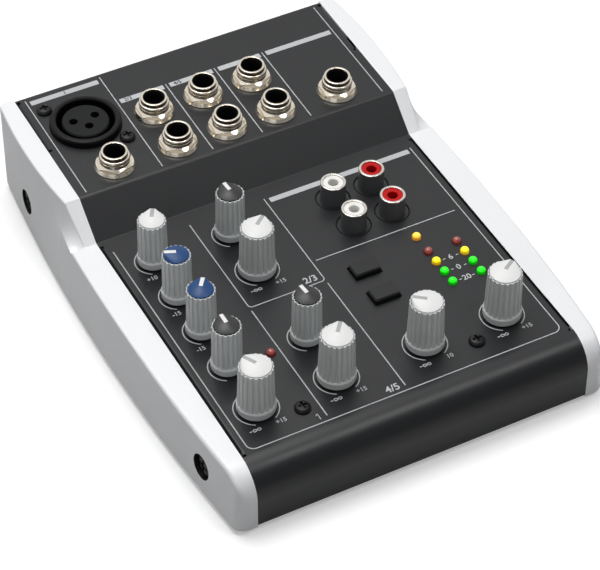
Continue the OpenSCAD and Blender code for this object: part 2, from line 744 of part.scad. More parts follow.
// Boards under the two panels, and the flat ribbon that joins them
ribbon_t = 1;
ribbon_w = 24;
ribbon_overlap = 6;
control_board_rear_y = ramp_foot_y - board_margin;
jack_board_front_y = ramp_top_y + board_margin;
module circuit_boards() {
    width = shell_w - 2 * sheet_t - 2 * board_margin;
    control_l = control_board_rear_y - nose_start_y;
    jack_l = jack_panel_d - 2 * board_margin;
    upper = control_z(control_board_rear_y) + control_board_z - board_t;
    lower = jack_z(jack_board_front_y) + jack_board_z - board_t;
    color([0.1, 0.35, 0.2]) {
        on_control_panel([0, control_board_rear_y])
            translate([-width / 2, -control_l, control_board_z - board_t]) cube([width, control_l, board_t]);
        on_jack_panel([0, jack_board_front_y])
            translate([-width / 2, 0, jack_board_z - board_t]) cube([width, jack_l, board_t]);
        across(ribbon_w) polygon([
            [control_board_rear_y - ribbon_overlap, upper + board_t / 2],
            [control_board_rear_y - ribbon_overlap, upper - ribbon_t],
            [control_board_rear_y + ribbon_overlap, upper - ribbon_t],
            [jack_board_front_y - ribbon_overlap, lower - ribbon_t],
            [jack_board_front_y + ribbon_overlap, lower - ribbon_t],
            [jack_board_front_y + ribbon_overlap, lower + board_t / 2],
            [jack_board_front_y - ribbon_overlap, lower + board_t / 2],
            [control_board_rear_y + ribbon_overlap, upper + board_t / 2]
        ]);
    }
}

panel_screw_grip = 4;
panel_shank_l = sheet_t + panel_screw_grip;
post_r = 3;
module board_posts() {
    color([0.8, 0.7, 0.4]) for (s = PANEL_SCREWS) on_control_panel(s) difference() {
        translate([0, 0, control_board_z]) cylinder(r = post_r, h = pot_body_h);
        drill(screw_r + seat_fit, panel_shank_l);
    }
}

module panel_screws() {
    color([0.08, 0.08, 0.08]) {
        for (s = PANEL_SCREWS) on_control_panel(s) screw(screw_head_r, screw_head_h, panel_shank_l);
        on_jack_panel(mic_at)
            for (s = MIC_SCREWS) translate(s) screw(screw_head_r, screw_head_h, sheet_t + mic_flange_t);
    }
}

// Jacks: body under the panel, threaded bushing, flanged hexagon nut
jack_bush_l = 7;
jack_tip_r = 3.6;
jack_floor = 1;
module jack_bodies() {
    color([0.1, 0.1, 0.1]) for (j = JACKS) on_jack_panel(j) difference() {
        translate([0, 0, jack_board_z]) linear_extrude(jack_body_h) square(jack_body_w, center = true);
        translate([0, 0, jack_board_z + jack_floor]) cylinder(r = jack_tip_r, h = jack_body_h);
        translate([0, 0, -sheet_t - jack_bush_l]) cylinder(r = jack_bush_r + seat_fit, h = jack_bush_l + cut);
    }
}

jack_chamfer = 0.4;
module jack_bushings() {
    top = jack_bush_h;
    low = -sheet_t - jack_bush_l;
    color([0.85, 0.8, 0.72]) for (j = JACKS) on_jack_panel(j)
        rotate_extrude() polygon([
            [jack_bore_r, low], [jack_bush_r, low], [jack_bush_r, top - jack_chamfer],
            [jack_bush_r - jack_chamfer, top], [jack_bore_r + jack_chamfer, top],
            [jack_bore_r, top - jack_chamfer]
        ]);
}

nut_washer_r = 6.7;
nut_washer_h = 0.6;
nut_hex_r = 6.35;
nut_hex_h = 2.6;
nut_collar_r = 5.2;
nut_collar_h = 0.8;
nut_edge = 0.3;
nut_chamfer_h = 0.8;
module jack_nuts() {
    hex_top = nut_washer_h + nut_hex_h;
    color([0.85, 0.8, 0.72]) for (j = JACKS) on_jack_panel(j) difference() {
        union() {
            rotate_extrude() polygon([
                [0, 0], [nut_washer_r, 0], [nut_washer_r, nut_washer_h - nut_edge],
                [nut_washer_r - nut_edge, nut_washer_h], [0, nut_washer_h]
            ]);
            intersection() {
                cylinder(r = nut_hex_r, h = hex_top, $fn = 6);
                rotate_extrude() polygon([
                    [0, 0], [nut_hex_r, 0], [nut_hex_r, hex_top - nut_chamfer_h],
                    [nut_collar_r, hex_top], [0, hex_top]
                ]);
            }
            cylinder(r = nut_collar_r, h = hex_top + nut_collar_h);
        }
        translate([0, 0, -cut]) cylinder(r = jack_bush_r + seat_fit, h = hex_top + nut_collar_h + 2 * cut);
    }
}

// Microphone socket: shell with a flange under the panel, insert and three contacts
mic_flange_t = 2.4;
mic_floor_z = -15;
mic_edge = 0.8;
mic_sink = 0.9;
mic_pin_r = 1.45;
mic_pin_deep = 13;
MIC_PINS = [[-3.85, 1.15], [3.85, 1.15], [0, -2.9]];
module mic_shell() {
    color([0.08, 0.08, 0.09]) on_jack_panel(mic_at) difference() {
        union() {
            rotate_extrude() polygon([
                [0, jack_board_z], [mic_r, jack_board_z], [mic_r, mic_h - mic_edge],
                [mic_r - 0.3 * mic_edge, mic_h - 0.3 * mic_edge], [mic_r - mic_edge, mic_h],
                [mic_cavity_r + mic_edge / 2, mic_h], [mic_cavity_r, mic_h - mic_edge / 2],
                [mic_cavity_r, mic_floor_z], [0, mic_floor_z]
            ]);
            difference() {
                translate([-mic_flange_w / 2, -mic_flange_l / 2, -sheet_t - mic_flange_t])
                    cube([mic_flange_w, mic_flange_l, mic_flange_t]);
                drill((mic_r + mic_cavity_r) / 2, sheet_t + mic_flange_t);
            }
        }
        for (s = MIC_SCREWS) translate(s) drill(screw_r + seat_fit, sheet_t + mic_flange_t);
    }
}

module mic_insert() {
    top = mic_h - mic_sink;
    color([0.2, 0.2, 0.21]) on_jack_panel(mic_at) difference() {
        rotate_extrude() polygon([
            [0, mic_floor_z], [mic_insert_r, mic_floor_z], [mic_insert_r, top - mic_edge / 2],
            [mic_insert_r - mic_edge / 2, top], [0, top]
        ]);
        for (p = MIC_PINS)
            translate([p.x, p.y, top - mic_pin_deep]) cylinder(r = mic_pin_r, h = mic_pin_deep + cut);
    }
}

mic_contact_sink = 4;
mic_contact_bore_r = 1.1;
module mic_contacts() {
    low = mic_h - mic_sink - mic_pin_deep;
    high = mic_h - mic_sink - mic_contact_sink;
    color([0.8, 0.7, 0.4]) on_jack_panel(mic_at) for (p = MIC_PINS)
        translate([p.x, p.y, low]) difference() {
            cylinder(r = mic_pin_r - seat_fit, h = high - low);
            translate([0, 0, cut]) cylinder(r = mic_contact_bore_r, h = high - low);
        }
}

// Phono sockets: one block with four collars, and a barrel and an insert for each
phono_wall = 0.9;
phono_collar_r = 5.4;
phono_floor_z = -5;
phono_insert_sink = 0.4;
phono_bore_l = 9;
phono_collar_sink = 0.25;
phono_edge = 0.3;
module phono_block() {
    w = phono_pitch + 2 * phono_margin;
    color([0.07, 0.07, 0.07]) difference() {
        union() {
            on_control_panel([column_x(phono_x), row_y(phono_d)])
                translate([-w / 2, -w / 2, control_board_z]) cube([w, w, pot_body_h]);
            for (p = PHONOS) on_control_panel(p)
                translate([0, 0, control_board_z])
                    cylinder(r = phono_collar_r, h = pot_body_h + sheet_t - phono_collar_sink);
        }
        for (p = PHONOS) on_control_panel(p)
            translate([0, 0, phono_floor_z]) cylinder(r = phono_r + seat_fit, h = pot_body_h + phono_h);
    }
}

module phono_barrels() {
    in_r = phono_r - phono_wall;
    color([0.82, 0.8, 0.76]) for (p = PHONOS) on_control_panel(p)
        rotate_extrude() polygon([
            [in_r, phono_floor_z], [phono_r, phono_floor_z], [phono_r, phono_h - phono_edge],
            [phono_r - phono_edge, phono_h], [in_r + phono_edge, phono_h], [in_r, phono_h - phono_edge]
        ]);
}

module phono_insert(place) {
    top = phono_h - phono_insert_sink;
    on_control_panel(place) difference() {
        translate([0, 0, phono_floor_z])
            cylinder(r = phono_r - phono_wall - seat_fit, h = top - phono_floor_z);
        translate([0, 0, top - phono_bore_l]) cylinder(r = phono_bore_r, h = phono_bore_l + cut);
    }
}

module phono_inserts_white() {
    color([0.9, 0.9, 0.88]) for (p = WHITE_PHONOS) phono_insert(p);
}

module phono_inserts_red() {
    color([0.8, 0.1, 0.1]) for (p = RED_PHONOS) phono_insert(p);
}

// Lamps: each stands on the board on a spacer and fills its hole in the panel
led_spacer_r = 1.9;
led_spacer_h = 4;
led_proud = 0.3;
module leds(places) {
    for (p = places) on_control_panel(p) {
        translate([0, 0, control_board_z]) cylinder(r = led_spacer_r, h = led_spacer_h);
        translate([0, 0, control_board_z]) cylinder(r = led_r, h = led_proud - control_board_z);
        translate([0, 0, led_proud]) difference() {
            sphere(led_r);
            translate([0, 0, -led_r - cut]) cube(2 * (led_r + cut), center = true);
        }
    }
}

module leds_red() {
    color([0.45, 0.1, 0.1]) leds(RED_LEDS);
}

module leds_yellow() {
    color([1, 0.85, 0.1]) leds(YELLOW_LEDS);
}

module leds_green() {
    color([0.1, 0.95, 0.2]) leds(GREEN_LEDS);
}

// Controls: bodies on the board, each with a blind hole for its shaft
pot_body_w = 9.8;
pot_body_l = 11;
pot_floor = 0.8;
module pot_bodies() {
    color([0.25, 0.25, 0.27]) for (k = KNOBS) on_control_panel([k[1], k[2]]) difference() {
        translate([0, 0, control_board_z])
            linear_extrude(pot_body_h) square([pot_body_w, pot_body_l], center = true);
        translate([0, 0, control_board_z + pot_floor]) cylinder(r = shaft_r + run_fit, h = pot_body_h);
    }
}

// Knob sizes by kind
function is_large(k) = k[3];
function base_r(k) = is_large(k) ? large_base_r : small_base_r;
function top_r(k) = is_large(k) ? large_top_r : small_top_r;
function rim_h(k) = is_large(k) ? large_h : small_h;
function flutes(k) = is_large(k) ? large_flutes : small_flutes;
knob_roof = 2;
skirt_edge = 0.4;

module on_knob(k) {
    on_control_panel([k[1], k[2]]) rotate([0, 0, k[4]]) children();
}

// Round shaft with a flat, seen from its end
module flatted(r) {
    intersection() {
        circle(r);
        translate([-r, -r]) square([2 * r, r + shaft_flat + r - shaft_r]);
    }
}

module shaft(k) {
    low = control_board_z + pot_floor + end_gap;
    color([0.7, 0.7, 0.72]) on_knob(k) {
        translate([0, 0, low]) cylinder(r = shaft_r, h = knob_gap - low);
        translate([0, 0, knob_gap])
            linear_extrude(rim_h(k) - cap_seat - knob_roof - knob_gap) flatted(shaft_r);
    }
}

module knob(k) {
    body_r = base_r(k) - skirt_edge;
    start = skirt_h + 2 * skirt_edge;
    taper = atan((body_r - top_r(k)) / (rim_h(k) - skirt_h));
    color([0.5, 0.52, 0.52]) on_knob(k) difference() {
        rotate_extrude() polygon([
            [0, knob_gap], [base_r(k) - skirt_edge, knob_gap], [base_r(k), knob_gap + skirt_edge],
            [base_r(k) - skirt_edge / 2, skirt_h], [body_r, skirt_h + skirt_edge],
            [top_r(k), rim_h(k) - skirt_edge], [top_r(k) - skirt_edge / 2, rim_h(k)], [0, rim_h(k)]
        ]);
        for (i = [0:flutes(k) - 1]) rotate([0, 0, (i + 0.5) * 360 / flutes(k)])
            translate([body_r + flute_r - flute_depth, 0, start]) rotate([0, -taper, 0])
                cylinder(r = flute_r, h = rim_h(k));
        translate([0, 0, rim_h(k) - cap_seat]) cylinder(r = top_r(k) - rim_w, h = cap_seat + cut);
        translate([0, 0, knob_gap - cut]) linear_extrude(rim_h(k) - cap_seat - knob_roof - knob_gap + cut)
            flatted(shaft_r + seat_fit);
    }
}

// Cap in the knob's rim, which rises to a level ridge from its middle to its edge as the pointer
cap_edge = 0.15;
module cap(k) {
    r = top_r(k) - rim_w - seat_fit;
    color(k[5]) on_knob(k) {
        translate([0, 0, rim_h(k) - cap_seat]) {
            cylinder(r = r, h = cap_seat);
            hull() {
                cylinder(r = r - cap_edge, h = cap_seat);
                translate([-pointer_w / 2, -pointer_w / 2, 0])
                    cube([pointer_w, r - cap_edge + pointer_w / 2, cap_seat + cap_rise]);
            }
        }
    }
}

// Push buttons and the switches under them
button_skirt = 1;
stem_w = 3;
stem_l = 4;
button_r = 0.6;
button_bevel = 0.3;
module round_rectangle(w, l, r) {
    square([w - 2 * r, l], center = true);
    square([w, l - 2 * r], center = true);
    for (x = [-1, 1], y = [-1, 1]) translate([x * (w / 2 - r), y * (l / 2 - r)]) circle(r);
}

module button(b) {
    color([0.1, 0.1, 0.1]) on_control_panel([b[1], b[2]]) {
        translate([0, 0, -button_skirt]) linear_extrude(button_skirt + button_h - button_bevel)
            round_rectangle(button_w, button_l, button_r);
        translate([0, 0, button_h - button_bevel]) linear_extrude(button_bevel)
            round_rectangle(button_w - 2 * button_bevel, button_l - 2 * button_bevel, button_r);
        translate([-stem_w / 2, -stem_w / 2, -button_skirt - stem_l]) cube([stem_w, stem_w, stem_l]);
    }
}

module switch_bodies() {
    top = -button_skirt - button_travel - end_gap;
    hole = stem_w + 2 * button_fit;
    color([0.15, 0.15, 0.16]) for (b = BUTTONS) on_control_panel([b[1], b[2]]) difference() {
        translate([0, 0, control_board_z])
            linear_extrude(top - control_board_z) square([switch_w, switch_l], center = true);
        translate([-hole / 2, -hole / 2, -button_skirt - stem_l - button_travel - end_gap])
            cube([hole, hole, stem_l + button_travel]);
    }
}

// Rear socket: a metal sleeve on the jack board with a tongue inside
usb_wall = 0.35;
usb_tongue_w = 6;
usb_tongue_t = 0.7;
usb_floor = 1.2;
module usb_socket() {
    color([0.78, 0.78, 0.8]) on_usb() difference() {
        along(usb_l) usb_outline(0);
        translate([0, cut, 0]) along(usb_l - usb_floor + cut) difference() {
            usb_outline(-usb_wall);
            square([usb_tongue_w, usb_tongue_t], center = true);
        }
    }
}

top_shell();
base_tray();
left_cheek();
right_cheek();
case_screws();
rubber_feet();
circuit_boards();
board_posts();
jack_bodies();
jack_bushings();
jack_nuts();
mic_shell();
mic_insert();
mic_contacts();
panel_screws();
phono_block();
phono_barrels();
phono_inserts_white();
phono_inserts_red();
pot_bodies();
switch_bodies();
leds_red();
leds_yellow();
leds_green();
usb_socket();
for (b = BUTTONS) button(b);
for (k = KNOBS) {
    knob(k);
    cap(k);
    shaft(k);
}
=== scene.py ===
"""Looks of a small mixing console: cheeks, fluted knobs, turned sockets, print, light and camera.

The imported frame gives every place. Pieces are modelled in millimetres and put in place in metres.
"""

import json
import logging
import math
from collections.abc import Callable, Sequence
from dataclasses import dataclass, field
from enum import Enum

import bmesh
import bpy
from mathutils import Matrix, Vector

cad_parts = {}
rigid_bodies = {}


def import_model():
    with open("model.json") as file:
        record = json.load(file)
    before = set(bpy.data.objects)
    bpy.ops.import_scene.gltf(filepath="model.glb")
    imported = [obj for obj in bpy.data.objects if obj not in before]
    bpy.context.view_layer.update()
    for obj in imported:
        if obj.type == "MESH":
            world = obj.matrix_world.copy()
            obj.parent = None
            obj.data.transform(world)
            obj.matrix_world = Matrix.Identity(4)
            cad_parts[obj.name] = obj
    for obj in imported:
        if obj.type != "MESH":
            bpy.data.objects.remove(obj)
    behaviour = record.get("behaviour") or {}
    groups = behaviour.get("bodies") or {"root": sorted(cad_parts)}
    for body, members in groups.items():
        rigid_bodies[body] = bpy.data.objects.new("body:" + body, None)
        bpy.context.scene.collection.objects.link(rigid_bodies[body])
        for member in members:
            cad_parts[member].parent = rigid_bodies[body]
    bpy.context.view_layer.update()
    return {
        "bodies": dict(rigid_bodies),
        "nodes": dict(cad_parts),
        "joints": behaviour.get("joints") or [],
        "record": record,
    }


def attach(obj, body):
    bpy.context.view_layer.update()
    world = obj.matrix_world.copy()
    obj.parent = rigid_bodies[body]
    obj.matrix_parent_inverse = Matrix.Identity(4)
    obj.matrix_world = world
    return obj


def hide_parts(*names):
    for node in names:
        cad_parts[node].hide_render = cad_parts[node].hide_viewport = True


LOG = logging.getLogger("console")
MM = 0.001
FULL_TURN = 2 * math.pi
QUARTER_TURN = math.pi / 2
SAME_MM = 0.001
SAME_TURN = 0.001

Colour = tuple[int, int, int]
Point = tuple[float, float]
Corner = tuple[float, float] | tuple[float, float, float]
Spot = tuple[float, float, float]
Piece = bpy.types.Object
Tree = bpy.types.NodeTree
Socket = bpy.types.NodeSocket
Given = bpy.types.NodeOutputs


class Side(Enum):
    """The two ends of the case, as the sign of X."""

    LEFT = -1
    RIGHT = 1


class Relief(Enum):
    """Fine relief of a surface, as the name of the node group that makes it."""

    GRAIN = "sprayed_grain"
    TURNED = "turning_lines"


def linear(colour: Colour) -> tuple[float, float, float, float]:
    """Turns a screen colour into the linear colour that a shader takes.

    Args:
        colour: Red, green and blue, 0 to 255.

    Returns:
        Linear red, green, blue and an alpha of 1.
    """
    shares = [value / 255 for value in colour]
    made = [s / 12.92 if s <= 0.04045 else ((s + 0.055) / 1.055) ** 2.4 for s in shares]
    return made[0], made[1], made[2], 1.0


def blend(start: float, end: float, share: float) -> float:
    """Returns the value that lies a share of the way from start to end."""
    return start + (end - start) * share


def spread(start: float, end: float, steps: int) -> list[float]:
    """Returns values from start to end in even steps."""
    return [blend(start, end, step / steps) for step in range(steps + 1)]


def hold(share: float) -> float:
    """Returns a share held between 0 and 1."""
    return min(1.0, max(0.0, share))


def smooth(share: float) -> float:
    """Returns a share that starts and ends gently, held between 0 and 1."""
    return hold(share) ** 2 * (3 - 2 * hold(share))


def outline(corners: Sequence[Corner], steps: int = 5) -> list[Point]:
    """Rounds corners of an open outline.

    Args:
        corners: Corners in order, each as radius, height and the radius that rounds it, if any.
        steps: Steps along each round corner.

    Returns:
        The outline's points as radius and height.
    """
    edge_share = 0.49
    points: list[Point] = []
    for index, (r, z, *rounding) in enumerate(corners):
        if not rounding:
            points.append((r, z))
            continue
        here = Vector((r, z))
        back = Vector(corners[index - 1][:2]) - here
        ahead = Vector(corners[index + 1][:2]) - here
        half = back.angle(ahead) / 2
        longest = edge_share * min(back.length, ahead.length)
        reach = min(rounding[0] / math.tan(half), longest)
        radius = reach * math.tan(half)
        middle = (back.normalized() + ahead.normalized()).normalized()
        centre = here + middle * radius / math.sin(half)
        start = here + back.normalized() * reach - centre
        end = here + ahead.normalized() * reach - centre
        for share in spread(0, 1, steps):
            spoke = start.slerp(end, share) * radius
            points.append((centre.x + spoke.x, centre.y + spoke.y))
    return points


class Effects:
    """Shader nodes, and the node groups that several finishes share, each built once."""

    GROUPS = {
        "sprayed_grain": (("Place", "Scale"), "Height"),
        "turning_lines": (("Place", "Scale"), "Height"),
        "tone_drift": (("Place", "Colour", "Amount"), "Colour"),
        "handling_marks": (("Place", "Roughness", "Amount"), "Roughness"),
    }
    SOCKETS = {"Place": "NodeSocketVector", "Colour": "NodeSocketColor"}
    BROAD_SCALE, BROAD_SHARE = 0.35, 0.6
    RING_SQUEEZE = (0.06, 0.06, 1.0)
    WIDE_CELLS, CLOSE_CELLS, SMEAR_CELLS = 30, 900, 70

    @staticmethod
    def feed(tree: Tree, node: bpy.types.Node, feeds: dict) -> None:
        """Gives a node's inputs their values.

        Args:
            tree: Tree that holds the node.
            node: The node.
            feeds: A value or a socket for each input, by the input's name or number.
        """
        for label, value in feeds.items():
            if isinstance(value, Socket):
                tree.links.new(value, node.inputs[label])
            else:
                node.inputs[label].default_value = value

    @classmethod
    def node(cls, tree: Tree, kind: str, feeds: dict | None = None) -> bpy.types.Node:
        """Adds a shader node and feeds its inputs.

        Args:
            tree: Tree that takes the node.
            kind: Type of the node, without its prefix.
            feeds: A value or a socket for each input, by the input's name or number.

        Returns:
            The node.
        """
        made = tree.nodes.new(f"ShaderNode{kind}")
        cls.feed(tree, made, feeds or {})
        return made

    @classmethod
    def noise(cls, tree: Tree, place: Socket, scale: float | Socket, detail: float) -> Socket:
        """Adds a noise texture of so many cells per metre, and returns its value, about 0 to 1."""
        feeds = {"Vector": place, "Scale": scale, "Detail": detail}
        return cls.node(tree, "TexNoise", feeds).outputs["Fac"]

    @classmethod
    def sums(
        cls, tree: Tree, operation: str, first: float | Socket, second: float | Socket
    ) -> Socket:
        """Adds a Math node.

        Args:
            tree: Tree that takes the node.
            operation: Name of the operation.
            first: First value, as a number or a socket.
            second: Second value, as a number or a socket.

        Returns:
            The socket with the result.
        """
        made = cls.node(tree, "Math", {0: first, 1: second})
        made.operation = operation
        return made.outputs[0]

    @classmethod
    def sprayed_grain(cls, tree: Tree, given: Given) -> Socket:
        """Builds the fine uneven skin of paint and of moulded plastic.

        Args:
            tree: The group's tree.
            given: The group's inputs.

        Returns:
            The socket with the height.
        """
        fine = cls.noise(tree, given["Place"], given["Scale"], 3)
        broad_scale = cls.sums(tree, "MULTIPLY", given["Scale"], cls.BROAD_SCALE)
        broad = cls.noise(tree, given["Place"], broad_scale, 1)
        return cls.sums(tree, "ADD", fine, cls.sums(tree, "MULTIPLY", broad, cls.BROAD_SHARE))

    @classmethod
    def turning_lines(cls, tree: Tree, given: Given) -> Socket:
        """Builds the fine rings that turning leaves on metal that stands upright.

        Args:
            tree: The group's tree.
            given: The group's inputs.

        Returns:
            The socket with the height.
        """
        squeeze = cls.node(tree, "VectorMath", {0: given["Place"], 1: cls.RING_SQUEEZE})
        squeeze.operation = "MULTIPLY"
        return cls.noise(tree, squeeze.outputs["Vector"], given["Scale"], 2)

    @classmethod
    def tone_drift(cls, tree: Tree, given: Given) -> Socket:
        """Builds a colour that drifts a little lighter and darker over the surface.

        Args:
            tree: The group's tree.
            given: The group's inputs.

        Returns:
            The socket with the colour.
        """
        wide = cls.noise(tree, given["Place"], cls.WIDE_CELLS, 2)
        close = cls.noise(tree, given["Place"], cls.CLOSE_CELLS, 3)
        both = cls.sums(tree, "SUBTRACT", cls.sums(tree, "ADD", wide, close), 1)
        swing = cls.sums(tree, "MULTIPLY", both, given["Amount"])
        value = cls.sums(tree, "ADD", swing, 1)
        tone = cls.node(tree, "HueSaturation", {"Value": value, "Color": given["Colour"]})
        return tone.outputs["Color"]

    @classmethod
    def handling_marks(cls, tree: Tree, given: Given) -> Socket:
        """Builds a roughness with faint smears, as on a thing that has been handled.

        Args:
            tree: The group's tree.
            given: The group's inputs.

        Returns:
            The socket with the roughness.
        """
        smears = cls.noise(tree, given["Place"], cls.SMEAR_CELLS, 6)
        centred = cls.sums(tree, "SUBTRACT", smears, 0.5)
        swing = cls.sums(tree, "MULTIPLY", centred, given["Amount"])
        return cls.sums(tree, "ADD", given["Roughness"], swing)

    @classmethod
    def group(cls, name: str) -> Tree:
        """Finds a shared node group, and builds it the first time.

        Args:
            name: Name of the group.

        Returns:
            The group.
        """
        known = bpy.data.node_groups.get(name)
        if known:
            return known
        tree = bpy.data.node_groups.new(name, "ShaderNodeTree")
        inputs, output = cls.GROUPS[name]
        for label, way in [*((label, "INPUT") for label in inputs), (output, "OUTPUT")]:
            kind = cls.SOCKETS.get(label, "NodeSocketFloat")
            tree.interface.new_socket(name=label, in_out=way, socket_type=kind)
        given = tree.nodes.new("NodeGroupInput").outputs
        target = tree.nodes.new("NodeGroupOutput")
        tree.links.new(getattr(cls, name)(tree, given), target.inputs[output])
        return tree

    @classmethod
    def use(cls, tree: Tree, name: str, **values: object) -> Socket:
        """Places a shared node group in a material.

        Args:
            tree: The material's node tree.
            name: Name of the group.
            values: Value of each of the group's inputs.

        Returns:
            The group's output socket.
        """
        made = cls.node(tree, "Group")
        made.node_tree = cls.group(name)
        place = cls.node(tree, "TexCoord").outputs["Object"]
        cls.feed(tree, made, {"Place": place, **values})
        return made.outputs[0]


@dataclass(frozen=True)
class Finish:
    """A surface: its colour, its gloss and its fine relief.

    Attributes:
        name: Name of the material.
        colour: Screen colour, 0 to 255.
        roughness: Mean roughness.
        metallic: Share of metal.
        specular: Level of the clear reflection.
        drift: Share by which the colour drifts.
        marks: How far the roughness swings.
        relief: Kind of fine relief.
        relief_size: Width of one grain or ring, in millimetres.
        relief_depth: Depth of the relief, in millimetres.
        coat: Weight of a clear coat.
    """

    name: str
    colour: Colour
    roughness: float
    metallic: float = 0.0
    specular: float = 0.5
    drift: float = 0.06
    marks: float = 0.12
    relief: Relief = Relief.GRAIN
    relief_size: float = 0.3
    relief_depth: float = 0.01
    coat: float = 0.0

    def light_up(self, tree: Tree, shader: bpy.types.Node) -> None:
        """Adds nothing: only lamps shine."""

    def material(self) -> bpy.types.Material:
        """Finds the finish's material, and makes it the first time.

        Returns:
            The material.
        """
        known = bpy.data.materials.get(self.name)
        if known:
            return known
        made = bpy.data.materials.new(self.name)
        made.use_nodes = True
        tree = made.node_tree
        shader = tree.nodes["Principled BSDF"]
        tone = {"Colour": linear(self.colour), "Amount": self.drift}
        gloss = {"Roughness": self.roughness, "Amount": self.marks}
        height = Effects.use(tree, self.relief.value, Scale=1 / (self.relief_size * MM))
        bump = {"Distance": self.relief_depth * MM, "Height": height}
        feeds = {
            "Metallic": self.metallic,
            "Specular IOR Level": self.specular,
            "Coat Weight": self.coat,
            "Base Color": Effects.use(tree, "tone_drift", **tone),
            "Roughness": Effects.use(tree, "handling_marks", **gloss),
            "Normal": Effects.node(tree, "Bump", bump).outputs["Normal"],
        }
        Effects.feed(tree, shader, feeds)
        self.light_up(tree, shader)
        return made


@dataclass(frozen=True)
class LampFinish(Finish):
    """A lamp's dome: brighter on its top, with painted shade towards its foot, by which way it faces.

    Attributes:
        foot: Screen colour of the painted shade low on the dome.
        strength: Strength of the light; a lamp that is off keeps a faint painted glow.
        fade: How far upwards the dome faces where the foot's colour ends and the top's starts.
    """

    foot: Colour = (0, 0, 0)
    strength: float = 0.85
    fade: Point = (0.3, 0.8)

    def light_up(self, tree: Tree, shader: bpy.types.Node) -> None:
        """Lets the dome shine, with painted shade towards its foot, by which way its surface faces.

        Args:
            tree: The material's node tree.
            shader: The material's shader.
        """
        surface = Effects.node(tree, "NewGeometry").outputs["Normal"]
        way = Effects.node(tree, "SeparateXYZ", {"Vector": surface}).outputs["Z"]
        ramp = Effects.node(tree, "ValToRGB", {"Fac": way})
        stops = zip(ramp.color_ramp.elements, self.fade, (self.foot, self.colour))
        for stop, position, colour in stops:
            stop.position = position
            stop.color = linear(colour)
        shine = {"Emission Color": ramp.outputs["Color"], "Emission Strength": self.strength}
        Effects.feed(tree, shader, shine)


def polished(name: str, colour: Colour, roughness: float, metallic: float = 1.0) -> Finish:
    """Returns a finish of turned and polished metal."""
    return Finish(name, colour, roughness, metallic, 0.5, 0.04, 0.06, Relief.TURNED, 0.12, 0.003)


CHARCOAL = Finish(
    "charcoal_powder_coat", (27, 28, 30), 0.34, specular=0.33, relief_size=0.35, relief_depth=0.006
)
TRAY_BLACK = Finish(
    "tray_powder_coat", (27, 28, 30), 0.45, specular=0.4, relief_size=0.4, relief_depth=0.02
)
SILVER = Finish(
    "silver_paint", (234, 235, 237), 0.42, 0.05, drift=0.03, relief_size=0.12, relief_depth=0.004
)
# Black of the screws, and also painted shade on the walls and floors of the cheeks' screw seats.
SCREW_BLACK_AND_SEAT_SHADE = Finish("blackened_steel", (13, 13, 14), 0.45, specular=0.25, relief_size=0.2)
RUBBER = Finish(
    "foot_rubber_matt", (30, 30, 31), 0.85, specular=0.3, relief_size=0.5, relief_depth=0.04
)
BOARD = Finish("board_lacquer", (26, 72, 44), 0.4, drift=0.1, relief_size=0.6)
BRASS = Finish("post_brass_turned", (190, 160, 92), 0.3, 1.0, relief=Relief.TURNED)
SOCKET_BLACK = Finish("socket_black_plastic", (9, 9, 10), 0.42, specular=0.15, relief_size=0.25)
# Black that stands in for shade: deep in bores and holes, in the crevice beside each cheek and in the
# gaps round the phono sockets.
SHADE_BLACK = Finish("socket_bore_black", (6, 6, 6), 0.7, specular=0.15)
NICKEL = polished("champagne_nickel", (212, 204, 190), 0.2)
BARREL = polished("phono_nickel", (204, 200, 193), 0.18)
# A darker copy of the barrel's nickel, painted on the side as the reflection of the dark panel.
BARREL_SIDE_REFLECTION = polished("phono_side_metal", (92, 93, 95), 0.3, 0.25)
# The bushing's nickel darkened, as painted shade in the thread's grooves.
THREAD_SHADE = Finish(
    "bushing_thread_metal", (84, 77, 68), 0.4, 1.0,
    relief=Relief.TURNED, relief_size=0.4, relief_depth=0.03,
)
COLLAR_GREY = Finish("collar_grey_plastic", (30, 31, 33), 0.4, specular=0.33)
INSERT_GREY = Finish("insert_grey_plastic", (21, 22, 23), 0.5, specular=0.12, relief_size=0.25)
GOLD = Finish("contact_gold_plate", (212, 178, 96), 0.28, 1.0, relief=Relief.TURNED)
INSERT_WHITE = Finish("insert_white_plastic", (236, 235, 231), 0.4)
INSERT_RED = Finish("insert_red_plastic", (184, 8, 12), 0.38, specular=0.2)
POT_STEEL = Finish("pot_body_steel", (120, 121, 124), 0.4, 0.9, relief_size=0.2)
SHAFT_STEEL = Finish("shaft_aluminium", (186, 187, 190), 0.3, 1.0, relief=Relief.TURNED)
TIN = Finish("tinned_socket", (176, 177, 178), 0.3, 1.0, relief_size=0.2)
BUTTON_BLACK = Finish("button_black_plastic", (20, 21, 22), 0.45, specular=0.28, relief_size=0.25)
KNOB_GREY = Finish(
    "knob_grey_plastic", (208, 211, 211), 0.45, specular=0.4, drift=0.05, relief_size=0.2
)
POINTER_GREY = Finish("pointer_grey_plastic", (168, 170, 170), 0.45, specular=0.4, relief_size=0.2)
CAP_WHITE = Finish(
    "cap_white_plastic", (232, 232, 231), 0.45, specular=0.4, drift=0.03, relief_size=0.25
)
CAP_BLUE = Finish("cap_blue_plastic", (12, 62, 114), 0.42, specular=0.34, relief_size=0.25)
CAP_DARK = Finish("cap_dark_plastic", (36, 36, 38), 0.42, specular=0.4, relief_size=0.25)
INK_LIGHT = Finish(
    "light_screen_ink", (190, 192, 194), 0.6, specular=0.2, drift=0.05, relief_size=0.15
)
INK_DARK = Finish("dark_screen_ink", (34, 35, 37), 0.6, specular=0.2, relief_size=0.15)
